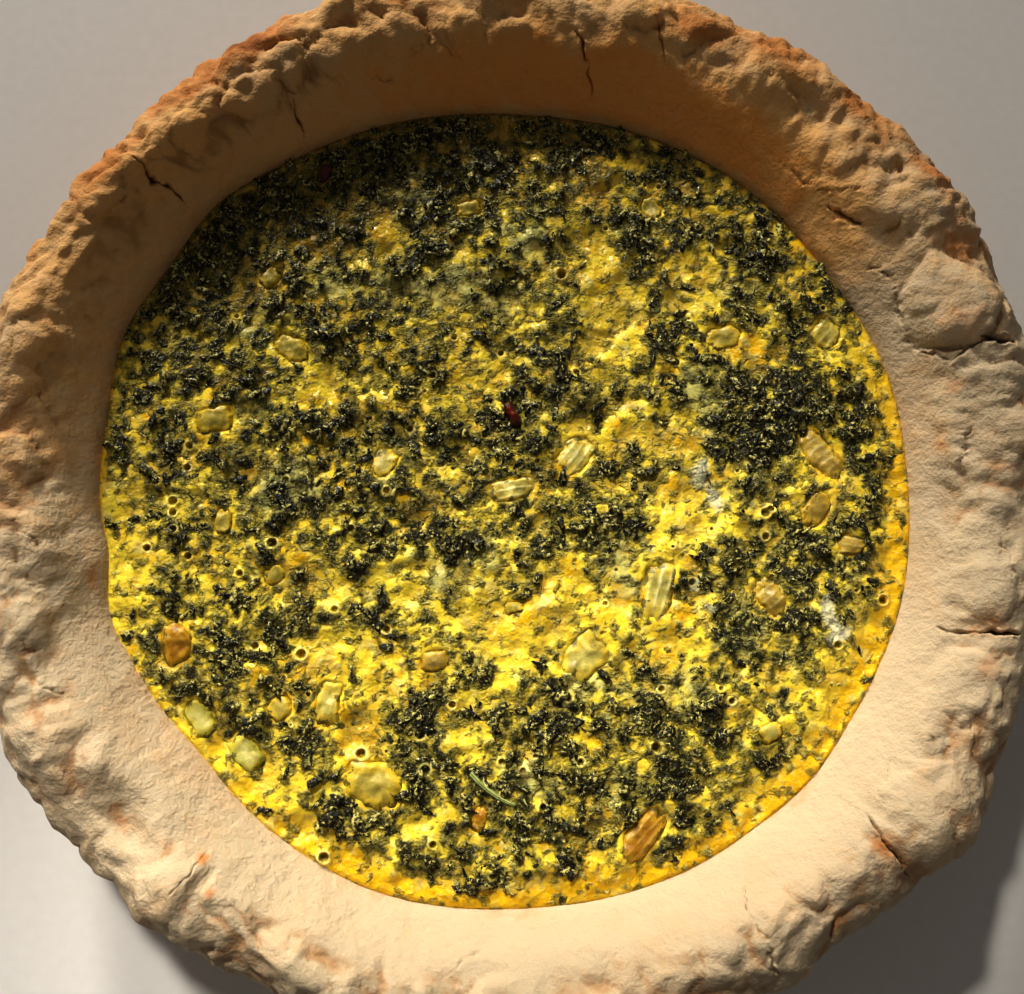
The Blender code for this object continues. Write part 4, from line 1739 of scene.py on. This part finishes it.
@dataclass
class Leaf:
    """Chopped leaf strewn thickly over the filling, each bit half sunk in it."""

    filling: Filling
    flattest: float = 0.25
    thickest: float = 0.55
    finish: LeafFinish = field(default_factory=LeafFinish)

    def places(self, chop: Chop) -> Array:
        """Picks where the bits lie, more of them where leaf lies thickly.

        Args:
            chop: The kind of leaf.

        Returns:
            Plan points, one for each bit.
        """
        dice = np.random.default_rng(chop.seed)
        tries = chop.tufts * 14
        turns = dice.uniform(0.0, 2.0 * math.pi, tries)
        reach = self.filling.radius * np.sqrt(dice.uniform(0.0, 1.0, tries))
        plan = np.column_stack([reach * np.cos(turns), reach * np.sin(turns)])
        inside = reach < self.filling.edge(plan) - 1.2
        clump = self.filling.clumps(plan, self.filling.leafiness(plan))
        chance = smoothstep(-0.50, 0.45, clump) ** 1.2
        tufts = plan[inside & (dice.uniform(0.0, 1.0, tries) < chance)][: chop.tufts]
        bits = dice.integers(chop.bits[0], chop.bits[1] + 1, len(tufts))
        spread = chop.spread * np.repeat(dice.uniform(0.45, 1.2, len(tufts)), bits)
        return np.repeat(tufts, bits, axis=0) + dice.normal(0.0, 0.6, (bits.sum(), 2)) * spread[:, None]

    def build(self) -> None:
        """Makes one piece for each kind of bit."""
        material = self.finish.material()
        for chop in CHOPS:
            self.strew(chop, material)

    def strew(self, chop: Chop, material: bpy.types.Material) -> bpy.types.Object:
        """Makes all the bits of one kind as one mesh.

        Args:
            chop: The kind of leaf.
            material: Their finish.

        Returns:
            The piece.
        """
        ball = bmesh.new()
        bmesh.ops.create_uvsphere(ball, u_segments=chop.sides, v_segments=4, radius=1.0)
        bmesh.ops.triangulate(ball, faces=ball.faces)
        corners = np.array([vert.co[:] for vert in ball.verts])
        faces = np.array([[vert.index for vert in face.verts] for face in ball.faces])
        ball.free()
        places = self.places(chop)
        count, each = len(places), len(corners)
        dice = np.random.default_rng(chop.seed + 100)
        size = dice.uniform(0.0, 1.0, count) ** 1.6 * (chop.high - chop.low) + chop.low
        turn = dice.uniform(0.0, math.pi, count)
        slim = chop.slim * dice.uniform(0.7, 1.3, count)
        flat = dice.uniform(self.flattest, self.thickest, count)
        tilt = dice.normal(0.0, 0.35, (count, 2))
        tone = dice.uniform(0.0, 1.0, count)
        key = np.repeat(dice.uniform(0.0, 900.0, (count, 3)), each, axis=0)
        ball_points = np.tile(corners, (count, 1))
        crumple = 1.0 + 1.2 * Field.smooth(ball_points + key, 0.8, chop.seed)
        own = ball_points * np.clip(crumple, 0.30, 1.8)[:, None]
        scale = np.column_stack([size, size * slim, size * slim * flat])
        own = own * np.repeat(scale, each, axis=0)
        cos, sin = np.repeat(np.cos(turn), each), np.repeat(np.sin(turn), each)
        x = own[:, 0] * cos - own[:, 1] * sin
        y = own[:, 0] * sin + own[:, 1] * cos
        z = own[:, 2] + x * np.repeat(tilt[:, 0], each) * 0.5 + y * np.repeat(tilt[:, 1], each) * 0.5
        plan = np.repeat(places, each, axis=0) + np.column_stack([x, y])
        level = self.filling.surface(places)["height"]
        lift = np.repeat(level + dice.uniform(-0.05, 0.25, count) * size, each)
        points = np.column_stack([plan, lift + z])
        index = (faces[None, :, :] + (np.arange(count) * each)[:, None, None]).reshape(-1, 3)
        mesh = bpy.data.meshes.new(chop.name)
        mesh.from_pydata(points.tolist(), [], index.tolist())
        return show(mesh, material, "egg", points, tone=np.repeat(tone, each))


# ---- Studio ----


@dataclass
class Studio:
    """A plain pale floor, soft lights and the camera.

    The camera's distance and aim are in millimetres, its tilt in degrees; the lit spot is in metres.
    """

    distance: float = 253.7
    tilt: float = 10.4
    lens: float = 38.7
    aim: tuple[float, float, float] = (1.1, -5.55, 27.0)
    lit: tuple[float, float, float] = (-0.018, -0.066, 0.03)
    surround: float = 0.14
    gamma: float = 0.8

    def floor(self) -> None:
        """Lays the floor."""
        shape = bmesh.new()
        bmesh.ops.create_grid(shape, x_segments=1, y_segments=1, size=3.0)
        mesh = meshed("floor", shape)
        graph = Graph("floor")
        speckle = graph.noise(graph.place(), 3.0, 3.0)
        colour = graph.mix(srgb(236, 231, 224), srgb(228, 222, 214), speckle)
        mesh.materials.append(graph.finish(Base_Color=colour, Roughness=0.8))
        floor = bpy.data.objects.new("floor", mesh)
        bpy.context.scene.collection.objects.link(floor)

    def lamp(self, name: str, away: Vector, size: tuple[float, float], power: float, spread: float) -> None:
        """Hangs a soft warm-white lamp that points at the lit spot.

        Args:
            name: Its name.
            away: How far it hangs from the lit spot, in metres.
            size: Its width and height in metres.
            power: Its power in watts.
            spread: How wide its light spreads, in degrees.
        """
        lamp = bpy.data.lights.new(name, "AREA")
        lamp.shape = "RECTANGLE"
        lamp.size, lamp.size_y = size
        lamp.energy = power
        lamp.color = (1.0, 0.97, 0.92)
        lamp.spread = math.radians(spread)
        item = bpy.data.objects.new(name, lamp)
        item.location = Vector(self.lit) + away
        item.rotation_euler = away.to_track_quat("Z", "Y").to_euler()
        bpy.context.scene.collection.objects.link(item)

    def lights(self) -> None:
        """Hangs a narrow key lamp on the far side, a weak wide one lower down, and a pale surround."""
        self.lamp("key", Vector((-0.266, 0.658, 0.704)), (0.26, 0.10), 0.090, 7.6)
        self.lamp("wide", Vector((-0.651, 1.787, 0.651)), (0.2, 0.2), 4.2, 60.0)
        world = bpy.data.worlds.new("surround")
        world.use_nodes = True
        back = world.node_tree.nodes["Background"]
        back.inputs["Color"].default_value = (1.0, 0.96, 0.92, 1.0)
        back.inputs["Strength"].default_value = self.surround
        bpy.context.scene.world = world

    def camera(self) -> None:
        """Sets the camera above the near side, looking nearly straight down."""
        data = bpy.data.cameras.new("camera")
        data.lens = self.lens
        data.sensor_width = 36.0
        data.clip_start = 0.01
        item = bpy.data.objects.new("camera", data)
        tilt = math.radians(self.tilt)
        back = Vector((0.0, -math.sin(tilt), math.cos(tilt)))
        item.location = (Vector(self.aim) + back * self.distance) * UNIT
        item.rotation_euler = back.to_track_quat("Z", "Y").to_euler()
        bpy.context.scene.collection.objects.link(item)
        bpy.context.scene.camera = item

    def build(self) -> None:
        """Sets up the floor, the lights, the camera and the tone of the picture."""
        self.floor()
        self.lights()
        self.camera()
        view = bpy.context.scene.view_settings
        view.view_transform = "Standard"
        view.gamma = self.gamma


def main() -> None:
    """Builds every piece in order, then the studio."""
    logging.basicConfig(level=logging.INFO, format="%(name)s %(message)s")
    filling = Filling()
    Crust().build()
    filling.build()
    OnionPieces(filling).build()
    Stalk(filling).build()
    Leaf(filling).build()
    Studio().build()


if __name__ == "__main__":
    main()
